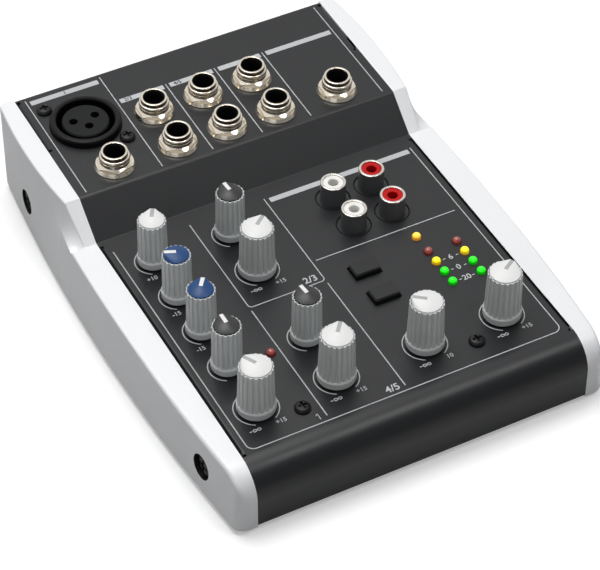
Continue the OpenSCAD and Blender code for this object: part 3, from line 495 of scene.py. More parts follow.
# The red lamps are off, yet keep a faint painted glow, lighter on top as a painted highlight.
LAMP_RED = LampFinish("red_lamp_off", (148, 60, 56), 0.2, foot=(60, 14, 14), strength=0.2, coat=0.4)
LAMP_YELLOW = LampFinish("yellow_lamp_lit", (240, 222, 24), 0.25, foot=(150, 90, 4))
LAMP_AMBER = LampFinish("amber_lamp_lit", (244, 198, 66), 0.25, foot=(140, 74, 6))
LAMP_GREEN = LampFinish("green_lamp_lit", (16, 236, 12), 0.25, foot=(2, 84, 4))

SLOT_FINISHES: dict[str, Finish] = {
    "shell_paint": CHARCOAL,
    "tray_paint": TRAY_BLACK,
    "cheek_silver": SILVER,
    "screw_black": SCREW_BLACK_AND_SEAT_SHADE,
    "foot_rubber": RUBBER,
    "board_green": BOARD,
    "post_brass": BRASS,
    "socket_black": SOCKET_BLACK,
    "nickel": NICKEL,
    "insert_grey": INSERT_GREY,
    "contact_gold": GOLD,
    "insert_white": INSERT_WHITE,
    "insert_red": INSERT_RED,
    "pot_metal": POT_STEEL,
    "lamp_red": LAMP_RED,
    "lamp_yellow": LAMP_YELLOW,
    "lamp_green": LAMP_GREEN,
    "socket_metal": TIN,
    "button_black": BUTTON_BLACK,
    "knob_grey": KNOB_GREY,
    "cap_white": CAP_WHITE,
    "cap_blue": CAP_BLUE,
    "cap_dark": CAP_DARK,
    "shaft_metal": SHAFT_STEEL,
}

NODE_FINISHES: dict[str, Finish] = {"phono_block": COLLAR_GREY}


class Bench:
    """Modelling steps, each done with Blender's own operators."""

    @staticmethod
    def clear() -> None:
        """Leaves edit mode and deselects every object."""
        if bpy.context.object and bpy.context.object.mode != "OBJECT":
            bpy.ops.object.mode_set(mode="OBJECT")
        bpy.ops.object.select_all(action="DESELECT")

    @classmethod
    def take(cls, *pieces: Piece) -> None:
        """Selects some pieces and makes the first one active.

        Args:
            pieces: The pieces.
        """
        cls.clear()
        for piece in pieces:
            piece.select_set(True)
        bpy.context.view_layer.objects.active = pieces[0]

    @staticmethod
    def name(name: str) -> Piece:
        """Names the active object, which was just made.

        Args:
            name: The name.

        Returns:
            The object.
        """
        piece = bpy.context.object
        piece.name = name
        piece.data.name = name
        return piece

    @classmethod
    def add(cls, operator: Callable, name: str, **settings: object) -> Piece:
        """Adds an object with one of Blender's operators.

        Args:
            operator: The operator that adds it.
            name: Name of the object.
            settings: The operator's settings.

        Returns:
            The object.
        """
        cls.clear()
        operator(**settings)
        return cls.name(name)

    @classmethod
    def edit(cls, piece: Piece, mode: str = "VERT") -> None:
        """Opens a piece in edit mode with nothing selected.

        Args:
            piece: The piece.
            mode: What can be selected: VERT, EDGE or FACE.
        """
        cls.take(piece)
        bpy.ops.object.mode_set(mode="EDIT")
        bpy.ops.mesh.select_mode(type=mode)
        bpy.ops.mesh.select_all(action="DESELECT")

    @staticmethod
    def close() -> None:
        """Goes back to object mode."""
        bpy.ops.object.mode_set(mode="OBJECT")

    @staticmethod
    def pick_vertices(piece: Piece, test: Callable[[Vector], bool]) -> int:
        """Selects, in edit mode, just the vertices that pass a test of their place.

        Args:
            piece: The piece that is being edited.
            test: Says whether a vertex at a place is wanted.

        Returns:
            How many vertices are selected.
        """
        mesh = bmesh.from_edit_mesh(piece.data)
        count = 0
        for vertex in mesh.verts:
            wanted = test(vertex.co)
            vertex.select_set(wanted)
            count += wanted
        mesh.select_flush_mode()
        bmesh.update_edit_mesh(piece.data, loop_triangles=False)
        return count

    @classmethod
    def paint(cls, piece: Piece, finish: Finish, test: Callable[[Vector], bool]) -> None:
        """Gives some faces a finish of their own.

        Args:
            piece: A piece that already has its main finish.
            finish: The finish for the chosen faces.
            test: Says whether a face with its middle at a place is chosen.
        """
        piece.data.materials.append(finish.material())
        cls.edit(piece, "FACE")
        mesh = bmesh.from_edit_mesh(piece.data)
        for face in mesh.faces:
            face.select_set(test(face.calc_center_median()))
        bmesh.update_edit_mesh(piece.data, loop_triangles=False)
        piece.active_material_index = len(piece.data.materials) - 1
        bpy.ops.object.material_slot_assign()
        cls.close()

    @classmethod
    def lathe(cls, name: str, points: Sequence[Point], steps: int) -> Piece:
        """Spins an outline round the Z axis.

        Args:
            name: Name of the piece.
            points: The outline as radius and height.
            steps: Steps round the axis.

        Returns:
            The turned piece, at the origin.
        """
        piece = cls.add(bpy.ops.mesh.primitive_plane_add, name, size=1)
        bpy.ops.object.mode_set(mode="EDIT")
        bpy.ops.mesh.select_mode(type="VERT")
        bpy.ops.mesh.merge(type="CENTER")
        bpy.ops.transform.translate(value=(points[0][0], 0, points[0][1]))
        for start, end in zip(points, points[1:]):
            move = {"value": (end[0] - start[0], 0, end[1] - start[1])}
            bpy.ops.mesh.extrude_vertices_move(TRANSFORM_OT_translate=move)
        bpy.ops.mesh.select_all(action="SELECT")
        bpy.ops.mesh.spin(steps=steps, angle=FULL_TURN, center=(0, 0, 0), axis=(0, 0, 1))
        cls.tidy()
        cls.close()
        return piece

    @classmethod
    def turned(
        cls, name: str, corners: Sequence[Corner], finish: Finish, steps: int = 72
    ) -> Piece:
        """Turns a piece with round corners and gives it its main finish.

        Args:
            name: Name of the piece.
            corners: Corners of its outline.
            finish: Its main finish.
            steps: Steps round the axis.

        Returns:
            The turned piece, at the origin.
        """
        piece = cls.lathe(name, outline(corners), steps)
        cls.soften(piece)
        piece.data.materials.append(finish.material())
        return piece

    @classmethod
    def sheet(cls, name: str, rows: Sequence[Sequence[Spot]]) -> Piece:
        """Lays a sheet of faces through rows of points.

        Args:
            name: Name of the sheet.
            rows: The rows, all with as many points.

        Returns:
            The sheet.
        """
        across, along = len(rows[0]) - 1, len(rows) - 1
        grid = bpy.ops.mesh.primitive_grid_add
        piece = cls.add(grid, name, x_subdivisions=across, y_subdivisions=along, size=1)
        spots = [spot for row in rows for spot in row]
        for vertex, spot in zip(piece.data.vertices, spots):
            vertex.co = spot
        return piece

    @staticmethod
    def tidy(gap: float = SAME_MM) -> None:
        """Merges doubles and turns the faces of the edited piece outwards.

        Args:
            gap: Distance within which two points become one.
        """
        bpy.ops.mesh.select_all(action="SELECT")
        bpy.ops.mesh.remove_doubles(threshold=gap)
        bpy.ops.mesh.normals_make_consistent(inside=False)

    @classmethod
    def modify(cls, piece: Piece, kind: str, **settings: object) -> None:
        """Adds a modifier with its settings and applies it.

        Args:
            piece: The piece.
            kind: Kind of modifier.
            settings: The modifier's settings.
        """
        cls.take(piece)
        step = piece.modifiers.new(kind.title(), kind)
        for key, value in settings.items():
            setattr(step, key, value)
        bpy.ops.object.modifier_apply(modifier=step.name)

    @classmethod
    def carve(cls, piece: Piece, tool: Piece, operation: str) -> None:
        """Combines a piece with a tool, and removes the tool.

        Args:
            piece: The piece that stays.
            tool: The shape that cuts it, joins it or trims it.
            operation: DIFFERENCE, UNION or INTERSECT.
        """
        cls.modify(piece, "BOOLEAN", object=tool, operation=operation, solver="EXACT")
        bpy.data.objects.remove(tool)

    @classmethod
    def soften(cls, piece: Piece, degrees: float = 40.0) -> None:
        """Shades a piece smoothly, except across edges sharper than an angle."""
        cls.take(piece)
        bpy.ops.object.shade_smooth_by_angle(angle=math.radians(degrees))

    @classmethod
    def copy(cls, piece: Piece, name: str) -> Piece:
        """Copies a piece with its own mesh.

        Args:
            piece: The piece to copy.
            name: Name of the copy.

        Returns:
            The copy.
        """
        cls.take(piece)
        bpy.ops.object.duplicate(linked=False)
        return cls.name(name)

    @classmethod
    def place(cls, piece: Piece, matrix: Matrix) -> None:
        """Puts a piece in place and keeps the place in its mesh.

        Args:
            piece: The piece.
            matrix: Its place.
        """
        cls.take(piece)
        piece.matrix_world = matrix
        bpy.ops.object.transform_apply(location=True, rotation=True, scale=True)

    @classmethod
    def join(cls, pieces: Sequence[Piece], name: str) -> Piece:
        """Joins pieces into one.

        Args:
            pieces: The pieces, which keep their finishes.
            name: Name of the result.

        Returns:
            The joined piece.
        """
        cls.take(*pieces)
        if len(pieces) > 1:
            bpy.ops.object.join()
        return cls.name(name)

    @classmethod
    def scatter(
        cls, model: Piece, places: Sequence[Matrix], name: str
    ) -> Piece:
        """Puts a copy of a model at each place and joins the copies.

        Args:
            model: The model at the origin, which is removed.
            places: Where the copies go.
            name: Name of the joined piece.

        Returns:
            The joined piece.
        """
        copies = []
        for index, matrix in enumerate(places):
            twin = cls.copy(model, f"{name}_{index + 1}")
            cls.place(twin, matrix)
            copies.append(twin)
        bpy.data.objects.remove(model)
        return cls.join(copies, name)


def dress(
    piece: Piece,
    finish: Finish,
    body: str,
    slot: str | None = None,
    nodes: Sequence[str] = (),
) -> None:
    """Finishes a piece and ties it to the frame.

    Args:
        piece: The piece, in place.
        finish: Its main finish, for a piece that has none yet.
        body: Body that it moves with.
        slot: Material slot of the record, if one fits; not used.
        nodes: Nodes that the piece stands for.
    """
    if not piece.data.materials:
        piece.data.materials.append(finish.material())
    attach(piece, body)
    if nodes:
        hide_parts(*nodes)
    LOG.info("%s: %d faces on %s", piece.name, len(piece.data.polygons), body)


@dataclass(frozen=True)
class Panel:
    """A flat, sloping face of the case, by one point on it in millimetres and its normal."""

    point: Vector
    normal: Vector

    def height(self, x: float, y: float) -> float:
        """Returns the height of the panel at a place in plan."""
        run = self.normal.x * (x - self.point.x) + self.normal.y * (y - self.point.y)
        return self.point.z - run / self.normal.z

    def place(self, x: float, y: float, turn: float = 0.0) -> Matrix:
        """Finds where a model in millimetres goes on the panel.

        Args:
            x: Place across the case.
            y: Place along the case.
            turn: Turn about the normal, anticlockwise, in radians.

        Returns:
            The matrix that places the model, in metres.
        """
        across = Vector((1, 0, 0))
        along = self.normal.cross(across).normalized()
        basis = Matrix((across, along, self.normal)).transposed().to_4x4()
        spot = Matrix.Translation(Vector((x, y, self.height(x, y))) * MM)
        return spot @ basis @ Matrix.Rotation(turn, 4, "Z") @ Matrix.Scale(MM, 4)


@dataclass
class CadNodes:
    """The solids that show as they are."""

    frame: dict

    def dress(self) -> None:
        """Gives every solid its own finish, or else that of its material slot."""
        for part in self.frame["record"]["subparts"]:
            node = self.frame["nodes"][part["node"]]
            finish = NODE_FINISHES.get(part["node"], SLOT_FINISHES[part["material_slot"]])
            node.data.materials.clear()
            node.data.materials.append(finish.material())
            LOG.info("%s: %s", part["node"], finish.name)


@dataclass
class Cheek:
    """A moulded end cheek: bowed in plan, flush with the case, with a scoop beside the ramp.

    Attributes:
        side: End of the case that it closes.
        shell_w: Width of the case between the cheeks.
        front_y, rear_y: Front and rear of the case.
        foot_h: Height of the underside.
        jack_rear_h, jack_front_h: Heights of the jack panel above the underside.
        control_rear_h, control_front_h: Heights of the control panel above the underside.
        jack_panel_d, ramp_d: Depths of the jack panel and of the ramp in plan.
        nose_r: Radius of the nose.
        cheek_w: Greatest width, where the bow stands out furthest.
        bow_r, bow_shift: Radius of the bow, and how far it peaks before the middle.
        lean, front_lean: How far the side leans in, at the middle and at the front.
        strip_w, strip_r, strip_d: Flat strip beside the jack panel, its bow and its place.
        strip_taper: Width that the strip loses beside the ramp.
        scoop_rise, scoop_l: Rise and length of the scoop's lower edge.
        scoop_gap: Gap between the ramp's foot and the first cross-section of the scoop.
        edge_r, front_edge_r: Radius of the top edge, at the rear and at the front.
        edge_start, edge_l: Where the edge starts to grow, and over which length.
        corner_r, rear_corner_r: Radii of the upright corners.
        corner_share: Greatest share of the front's width that the corner takes.
        bottom_r, bottom_cut: Radius of the lower edge, and the share of it cut off in the middle.
        screws: Screws as distance along the case and height.
        screw_r, seat_r: Radius of a screw hole, and of the seat for a screw's head.
        sink, head_h: Depth of a screw's head below the side face, and its height.
        seat_shade, seat_slack: Depth below the side face from which a seat is painted black as
            shade, and the distance outside its radius that still counts as its wall.
        drill_l: Reach of the drill to both sides of the inner face.
        bend_r: Outer radius of the bend of the sheet beside the cheek.
        joint_front_y, joint_rear_y: Ends of that bend.
        joint_turns: Directions from the bend's middle to the black line of painted shade on it, in
            degrees.
        joint_gap, joint_top: Gap under that line, and its depth below the cheek's top.
        joint_steps: Steps along that line.
        station_steps: Steps along rear corner, jack panel, ramp, control panel and nose.
        cove_steps, cove_share: Steps across the scoop, and how hollow it is.
        edge_steps: Steps round the top edge beside the scoop.
        crease_deg: Angle from which an edge shows as a crease.
    """

    side: Side
    shell_w: float = 114.5
    front_y: float = -88.35
    rear_y: float = 88.35
    foot_h: float = 1.5
    jack_rear_h: float = 34.1
    jack_front_h: float = 32.4
    control_rear_h: float = 22.2
    control_front_h: float = 20.8
    jack_panel_d: float = 52.7
    ramp_d: float = 11.6
    nose_r: float = 10.0
    cheek_w: float = 11.2
    bow_r: float = 780.0
    bow_shift: float = 7.5
    lean: float = 1.8
    front_lean: float = 1.4
    strip_w: float = 7.0
    strip_r: float = 190.0
    strip_d: float = 26.5
    strip_taper: float = 1.0
    scoop_rise: float = 2.4
    scoop_l: float = 25.0
    scoop_gap: float = 0.25
    edge_r: float = 0.7
    front_edge_r: float = 1.4
    edge_start: float = 12.5
    edge_l: float = 50.0
    corner_r: float = 3.4
    rear_corner_r: float = 1.0
    corner_share: float = 0.8
    bottom_r: float = 0.7
    bottom_cut: float = 0.3
    screws: tuple[Point, ...] = ((-67.25, 11.5), (63.85, 13.1))
    screw_r: float = 1.65
    seat_r: float = 4.35
    sink: float = 0.7
    head_h: float = 1.8
    seat_shade: float = 0.2
    seat_slack: float = 0.02
    drill_l: float = 20.0
    bend_r: float = 1.5
    joint_front_y: float = -76.4
    joint_rear_y: float = 59.6
    joint_turns: tuple[float, ...] = (72, 55, 40, 25, 10)
    joint_gap: float = 0.02
    joint_top: float = 0.25
    joint_steps: int = 160
    station_steps: tuple[int, ...] = (9, 26, 16, 40, 18)
    cove_steps: int = 12
    cove_share: float = 0.2
    edge_steps: int = 8
    crease_deg: float = 13.0

    def __post_init__(self) -> None:
        """Works out the places that follow from the sizes."""
        self.inner_x = self.shell_w / 2
        self.ramp_top_y = self.rear_y - self.jack_panel_d
        self.ramp_foot_y = self.ramp_top_y - self.ramp_d
        run = self.ramp_foot_y - self.front_y
        self.control_slope = (self.control_rear_h - self.control_front_h) / run
        self.jack_slope = (self.jack_rear_h - self.jack_front_h) / self.jack_panel_d
        self.nose_y = self.front_y + self.nose_r
        slant = math.hypot(1, self.control_slope)
        self.nose_z = self.control_z(self.nose_y) - self.nose_r * slant
        self.nose_start_y = self.nose_y - self.nose_r * self.control_slope / slant
        front_room = self.corner_share * (self.bow_x(self.front_y) - self.inner_x)
        self.front_corner_r = min(self.corner_r, front_room)
        self.word = self.side.name.lower()

    @staticmethod
    def arc_drop(radius: float, distance: float) -> float:
        """Returns how far an arc has dropped at a distance from its peak."""
        return radius - math.sqrt(max(0.0, radius * radius - distance * distance))

    def control_z(self, y: float) -> float:
        """Returns the height of the control panel."""
        return self.foot_h + self.control_front_h + (y - self.front_y) * self.control_slope

    def jack_z(self, y: float) -> float:
        """Returns the height of the jack panel."""
        return self.foot_h + self.jack_front_h + (y - self.ramp_top_y) * self.jack_slope

    def bow_x(self, y: float) -> float:
        """Returns the bow of the underside in plan."""
        return self.inner_x + self.cheek_w - self.arc_drop(self.bow_r, y + self.bow_shift)

    def corner_cut(self, y: float) -> float:
        """Finds how far the upright corners cut into the bow.

        Args:
            y: Place along the case.

        Returns:
            The depth of the cut.
        """
        ahead = max(0.0, self.front_y + self.front_corner_r - y)
        behind = max(0.0, y - self.rear_y + self.rear_corner_r)
        front = self.arc_drop(self.front_corner_r, ahead)
        return front + self.arc_drop(self.rear_corner_r, behind)

    def side_x(self, y: float) -> float:
        """Returns the outer face at its foot."""
        return self.bow_x(y) - self.corner_cut(y)

    def top_z(self, y: float) -> float:
        """Finds the height of the cheek, flush with the case.

        Args:
            y: Place along the case.

        Returns:
            The height.
        """
        if y >= self.ramp_top_y:
            return self.jack_z(y)
        if y >= self.ramp_foot_y:
            share = (y - self.ramp_foot_y) / self.ramp_d
            return blend(self.control_z(self.ramp_foot_y), self.jack_z(self.ramp_top_y), share)
        if y >= self.nose_start_y:
            return self.control_z(y)
        return self.nose_z + math.sqrt(max(0.0, self.nose_r**2 - (y - self.nose_y) ** 2))

    def base(self, y: float) -> list[Point]:
        """Finds the lower points of a cross-section.

        Args:
            y: Place along the case.

        Returns:
            The points, from the inner edge outwards.
        """
        x = self.side_x(y)
        cut = self.bottom_cut * self.bottom_r
        return [
            (self.inner_x, self.foot_h),
            (x - self.bottom_r, self.foot_h),
            (x - cut, self.foot_h + cut),
            (x, self.foot_h + self.bottom_r),
        ]

    @staticmethod
    def edge(x: float, top: float, r: float, steps: int) -> list[Point]:
        """Returns the points of a round edge, from the side face up to the top."""
        turns = spread(0, QUARTER_TURN, steps)
        return [(x - r * (1 - math.cos(t)), top - r * (1 - math.sin(t))) for t in turns]

    def front_section(self, y: float) -> list[Point]:
        """Finds a cross-section before the ramp, where the side ends in a rounded edge.

        Args:
            y: Place along the case.

        Returns:
            The points round the section.
        """
        frontness = smooth((-self.edge_start - y) / self.edge_l)
        x = self.side_x(y) - blend(self.lean, self.front_lean, frontness)
        top = self.top_z(y)
        r = min(blend(self.edge_r, self.front_edge_r, frontness), (x - self.inner_x) / 2)
        edge = self.edge(x, top, r, self.cove_steps + self.edge_steps)
        return [*self.base(y), *edge, (self.inner_x, top)]

    def rear_section(self, y: float) -> list[Point]:
        """Finds a cross-section from the ramp backwards, where the scoop fades out.

        Args:
            y: Place along the case.

        Returns:
            The points round the section.
        """
        along = (y - self.ramp_foot_y) / self.scoop_l
        weight = 1 - smooth(along)
        top = self.top_z(y)
        high = top - self.edge_r
        low = min(self.control_z(self.ramp_foot_y) - self.edge_r + self.scoop_rise * hold(along), high)
        bowed = self.arc_drop(self.strip_r, max(y, self.ramp_top_y) - self.rear_y + self.strip_d)
        taper = self.strip_taper * hold((self.ramp_top_y - y) / self.ramp_d)
        strip = self.inner_x + self.strip_w - bowed - taper - self.corner_cut(y)
        plain = blend(self.side_x(y), strip, (low - self.foot_h) / (top - self.foot_h))
        x = blend(plain, self.side_x(y) - self.lean, weight)
        hollow = self.cove_share * weight
        cove = []
        for share in spread(0, 1, self.cove_steps):
            turn = QUARTER_TURN * share
            out = blend(share, math.sin(turn), hollow)
            up = blend(share, 1 - math.cos(turn), hollow)
            cove.append((blend(x, strip, out), blend(low, high, up)))
        edge = self.edge(strip, top, self.edge_r, self.edge_steps)
        return [*self.base(y), *cove, *edge[1:], (self.inner_x, top)]

    def section(self, y: float) -> list[Point]:
        """Returns the cross-section at a place along the case."""
        return self.rear_section(y) if y > self.ramp_foot_y else self.front_section(y)

    def face_x(self, y: float, z: float) -> float:
        """Returns the side face at a height, which leans inwards as it rises."""
        low, high = self.section(y)[3:5]
        return blend(low[0], high[0], (z - low[1]) / (high[1] - low[1]))

    def stations(self) -> list[float]:
        """Finds the places of the cross-sections.

        Returns:
            Places along the case, from the rear to the front.
        """
        corner, jack, ramp, control, nose = self.station_steps
        turns = spread(0, QUARTER_TURN, corner)
        corner_y = [self.rear_y - self.rear_corner_r * (1 - math.cos(turn)) for turn in turns]
        jack_y = spread(self.rear_y - self.rear_corner_r, self.ramp_top_y, jack)[1:]
        ramp_y = spread(self.ramp_top_y, self.ramp_foot_y + self.scoop_gap, ramp)[1:]
        control_y = spread(self.ramp_foot_y, self.nose_start_y, control)
        turns = spread(0, QUARTER_TURN, nose)[1:]
        nose_y = [blend(self.nose_start_y, self.front_y, math.sin(turn)) for turn in turns]
        return corner_y + jack_y + ramp_y + control_y + nose_y

    def skin(self) -> Piece:
        """Wraps a sheet round the cross-sections and closes its two ends.

        Returns:
            The right cheek in millimetres.
        """
        rows = []
        for y in self.stations():
            section = self.section(y)
            rows.append([(x, y, z) for x, z in (*section, section[0])])
        piece = Bench.sheet(f"{self.word}_cheek_moulding", rows)
        Bench.edit(piece)
        Bench.tidy()
        for end in (self.rear_y, self.front_y):
            Bench.pick_vertices(piece, lambda co: abs(co.y - end) < SAME_MM / 10)
            bpy.ops.mesh.edge_face_add()
        Bench.tidy()
        Bench.close()
        return piece

    def crevice_shade_line(self) -> Piece:
        """Lays a black line along the bend of the sheet beside the cheek, as painted shade in the
        crevice of the joint.

        Returns:
            The line beside the right cheek, in millimetres.
        """
        middle, reach = self.inner_x - self.bend_r, self.bend_r + self.joint_gap
        turns = [math.radians(angle) for angle in self.joint_turns]
        profile = [
            (middle + reach * math.cos(turn), self.bend_r - reach * math.sin(turn)) for turn in turns
        ]
        end_x = self.inner_x - self.joint_gap
        profile += [(end_x, profile[-1][1]), (end_x, self.joint_top)]
        reach_y = 0.1
        rows = []
        for y in spread(self.joint_front_y, self.joint_rear_y, self.joint_steps):
            rise = (self.top_z(y + reach_y) - self.top_z(y - reach_y)) / (2 * reach_y)
            slant = math.hypot(1, rise)
            rows.append([(x, y, self.top_z(y) - drop * slant) for x, drop in profile])
        line = Bench.sheet(f"{self.word}_joint_line", rows)
        Bench.modify(line, "SOLIDIFY", thickness=self.joint_gap, offset=0)
        return line

    def bore(self, piece: Piece) -> None:
        """Cuts the two screw holes with the seats for their heads.

        Args:
            piece: The right cheek, in millimetres.
        """
        low, high = self.inner_x - self.drill_l, self.inner_x + self.drill_l
        for y, z in self.screws:
            seat = self.face_x(y, z) - self.sink - self.head_h
            shank = [(0, low), (self.screw_r, low), (self.screw_r, seat)]
            head = [(self.seat_r, seat), (self.seat_r, high), (0, high)]
            tool = Bench.lathe("cheek_drill", shank + head, 48)
            across = Matrix.Rotation(QUARTER_TURN, 4, "Y")
            Bench.place(tool, Matrix.Translation((0, y, z)) @ across)
            Bench.carve(piece, tool, "DIFFERENCE")

    def shade_seats(self, piece: Piece) -> None:
        """Paints the walls and floors of the screw seats black, as painted shade in the recesses.

        Args:
            piece: The right cheek, in millimetres.
        """
        piece.data.materials.append(SILVER.material())
        reach = self.seat_r + self.seat_slack

        def in_seat(co: Vector) -> bool:
            """Says whether a face with its middle here is on the wall or floor of a screw seat."""
            near = any(math.hypot(co.y - y, co.z - z) < reach for y, z in self.screws)
            return near and co.x < self.face_x(co.y, co.z) - self.seat_shade

        # The seat walls and floors are painted black as shade in the recesses.
        Bench.paint(piece, SCREW_BLACK_AND_SEAT_SHADE, in_seat)

    def build(self) -> None:
        """Models the cheek with its line of painted shade and puts both in place."""
        piece = self.skin()
        self.bore(piece)
        self.shade_seats(piece)
        line = self.crevice_shade_line()
        for made in (piece, line):
            if self.side is Side.LEFT:
                Bench.place(made, Matrix.Diagonal((-1, 1, 1, 1)))
                Bench.edit(made)
                Bench.tidy(SAME_MM / 100)
                Bench.close()
            Bench.place(made, Matrix.Scale(MM, 4))
            Bench.soften(made, self.crease_deg)
        # The black strip is painted shade in the crevice between case and cheek.
        dress(line, SHADE_BLACK, "case")
        dress(piece, SILVER, "case", "cheek_silver", [f"{self.word}_cheek"])


@dataclass(frozen=True)
class KnobSize:
    """Sizes of one kind of knob, in millimetres.

    Attributes:
        base_r: Radius of the skirt.
        top_r: Radius at the rim.
        height: Height of the rim above the panel.
        flutes: Grooves round the grip.
    """

    base_r: float
    top_r: float
    height: float
    flutes: int


class KnobKind(Enum):
    """The two sizes of knob."""

    SMALL = KnobSize(5.2, 4.6, 17.6, 18)
    LARGE = KnobSize(6.2, 5.4, 18.0, 20)


@dataclass
class KnobModel:
    """One kind of knob: fluted grip, cap and pointer, modelled once at the origin.

    Attributes:
        kind: Size of the knob.
        gap: Gap between the panel and the skirt.
        skirt_h, skirt_drop: Height of the skirt, and how far its round top starts below that.
        foot_in, skirt_in: How far the skirt's foot and its top are drawn in.
        step: Step from the skirt to the grip.
        foot_r, skirt_r, neck_r: Radii that round the skirt's foot and top, and the grip's foot.
        lip_r, lip_inner_r: Radii that round the rim, outside and inside.
        rings: Shares of the grip's height at which its outline has points.
        rim_w: Width of the rim round the cap.
        cap_gap: Gap between the rim and the cap.
        cap_lift: Height of the cap's edge above the rim.
        cap_seat: Depth of the cap's seat below the rim.
        cap_rise: Rise of the cap's ridge.
        cap_edge: Bevel of the cap's edges.
        ridge_w: Width of the ridge.
        ridge_inset: How far the ridge ends inside the cap's edge.
        pointer_w, pointer_h: Width and thickness of the pointer on the ridge.
        pointer_proud: How far the pointer stands above the ridge.
        pointer_inset, pointer_edge: How far it ends before the ridge does, and its bevel.
        shaft_r: Radius of the hole for the shaft.
        roof: Thickness above that hole.
        flute_r, flute_depth: Half the width of a groove, and its depth.
        flute_fade: Height over which a groove runs out.
        flute_gap: Height above the grip's foot from which it is grooved.
        flute_floor: Width of the rim, from its inner edge, that the grooves leave as it is.
        flute_steps: Columns of faces for each groove.
    """

    kind: KnobKind
    gap: float = 0.5
    skirt_h: float = 3.0
    skirt_drop: float = 0.1
    foot_in: float = 0.1
    skirt_in: float = 0.02
    step: float = 0.4
    foot_r: float = 0.35
    skirt_r: float = 0.45
    neck_r: float = 0.3
    lip_r: float = 0.25
    lip_inner_r: float = 0.12
    rings: tuple[float, ...] = (0.02, 0.05, 0.09, 0.13, 0.3, 0.55, 0.8, 0.95)
    rim_w: float = 0.45
    cap_gap: float = 0.15
    cap_lift: float = 0.35
    cap_seat: float = 1.0
    cap_rise: float = 1.5
    cap_edge: float = 0.1
    ridge_w: float = 1.5
    ridge_inset: float = 0.15
    pointer_w: float = 1.25
    pointer_h: float = 0.3
    pointer_proud: float = 0.06
    pointer_inset: float = 0.1
    pointer_edge: float = 0.05
    shaft_r: float = 3.02
    roof: float = 2.0
    flute_r: float = 0.36
    flute_depth: float = 0.6
    flute_fade: float = 1.3
    flute_gap: float = 0.01
    flute_floor: float = 0.2
    flute_steps: int = 12

    def __post_init__(self) -> None:
        """Works out the sizes that follow from the kind."""
        self.size = self.kind.value
        self.word = self.kind.name.lower()
        self.rim_r = self.size.top_r - self.rim_w
        self.cap_r = self.rim_r - self.cap_gap
        self.ridge_l = self.cap_r - self.ridge_inset

    def grip_outline(self) -> list[Point]:
        """Finds the outline of the grip.

        Returns:
            Radius and height of points from the hole's roof round to the cap's seat.
        """
        size = self.size
        seat_z = size.height - self.cap_seat
        roof_z = seat_z - self.roof
        body_r = size.base_r - self.step
        low = self.skirt_h + self.step
        rise = size.height - self.step / 2 - low
        grip = [(blend(body_r, size.top_r, share), low + share * rise) for share in self.rings]
        lower = [
            (0, roof_z),
            (self.shaft_r, roof_z),
            (self.shaft_r, self.gap),
            (size.base_r - self.foot_in, self.gap, self.foot_r),
            (size.base_r - self.skirt_in, self.skirt_h - self.skirt_drop, self.skirt_r),
            (body_r, low, self.neck_r),
            grip[0],
        ]
        upper = [
            grip[-1],
            (size.top_r, size.height, self.lip_r),
            (self.rim_r, size.height, self.lip_inner_r),
            (self.rim_r, seat_z),
            (0, seat_z),
        ]
        return outline(lower) + grip[1:-1] + outline(upper)

    def groove(self, offset: float) -> float:
        """Returns the depth of a groove at a distance from its middle."""
        return self.flute_depth * math.sqrt(max(0.0, 1 - (offset / self.flute_r) ** 2))

    def flute(self, piece: Piece) -> None:
        """Presses the grooves into the grip, ring by ring and column by column.

        Args:
            piece: The turned grip.
        """
        pitch = FULL_TURN / self.size.flutes
        start = self.skirt_h + self.step
        inner = self.rim_r + self.flute_floor
        ring = self.size.base_r - self.step
        levels = {round(vertex.co.z, 4) for vertex in piece.data.vertices}
        Bench.edit(piece)
        for z in sorted(level for level in levels if level > start + self.flute_gap):
            share = min(1.0, (z - start) / self.flute_fade)
            run_out = math.sqrt(1 - (1 - share) ** 2)
            for column in range(self.flute_steps // 2 + 1):
                turn = column * pitch / self.flute_steps
                depth = self.groove(turn * self.size.base_r) * run_out
                if depth <= 0:
                    continue

                def in_groove(co: Vector) -> bool:
                    """Tests whether a vertex is in this column of any groove, at this height.

                    Args:
                        co: Place of the vertex.

                    Returns:
                        Whether it is.
                    """
                    if abs(co.z - z) > SAME_MM or math.hypot(co.x, co.y) < inner:
                        return False
                    angle = math.atan2(co.y, co.x) % pitch
                    return abs(abs(angle - pitch / 2) - turn) < SAME_TURN

                if Bench.pick_vertices(piece, in_groove):
                    scale = (ring - depth) / ring
                    bpy.ops.transform.resize(value=(scale, scale, 1), center_override=(0, 0, 0))
        Bench.close()

    def grip(self) -> Piece:
        """Turns the grip and presses its grooves.

        Returns:
            The grip.
        """
        steps = self.size.flutes * self.flute_steps
        piece = Bench.lathe(f"{self.word}_grip", self.grip_outline(), steps)
        self.flute(piece)
        Bench.soften(piece)
        return piece

    def block(self, word: str, size: Sequence[float], middle: Sequence[float]) -> Piece:
        """Makes a box.

        Args:
            word: Ending of its name.
            size: Its size.
            middle: Its middle.

        Returns:
            The box.
        """
        piece = Bench.add(bpy.ops.mesh.primitive_cube_add, f"{self.word}_{word}", size=1)
        Bench.place(piece, Matrix.Translation(middle) @ Matrix.Diagonal((*size, 1)))
        return piece

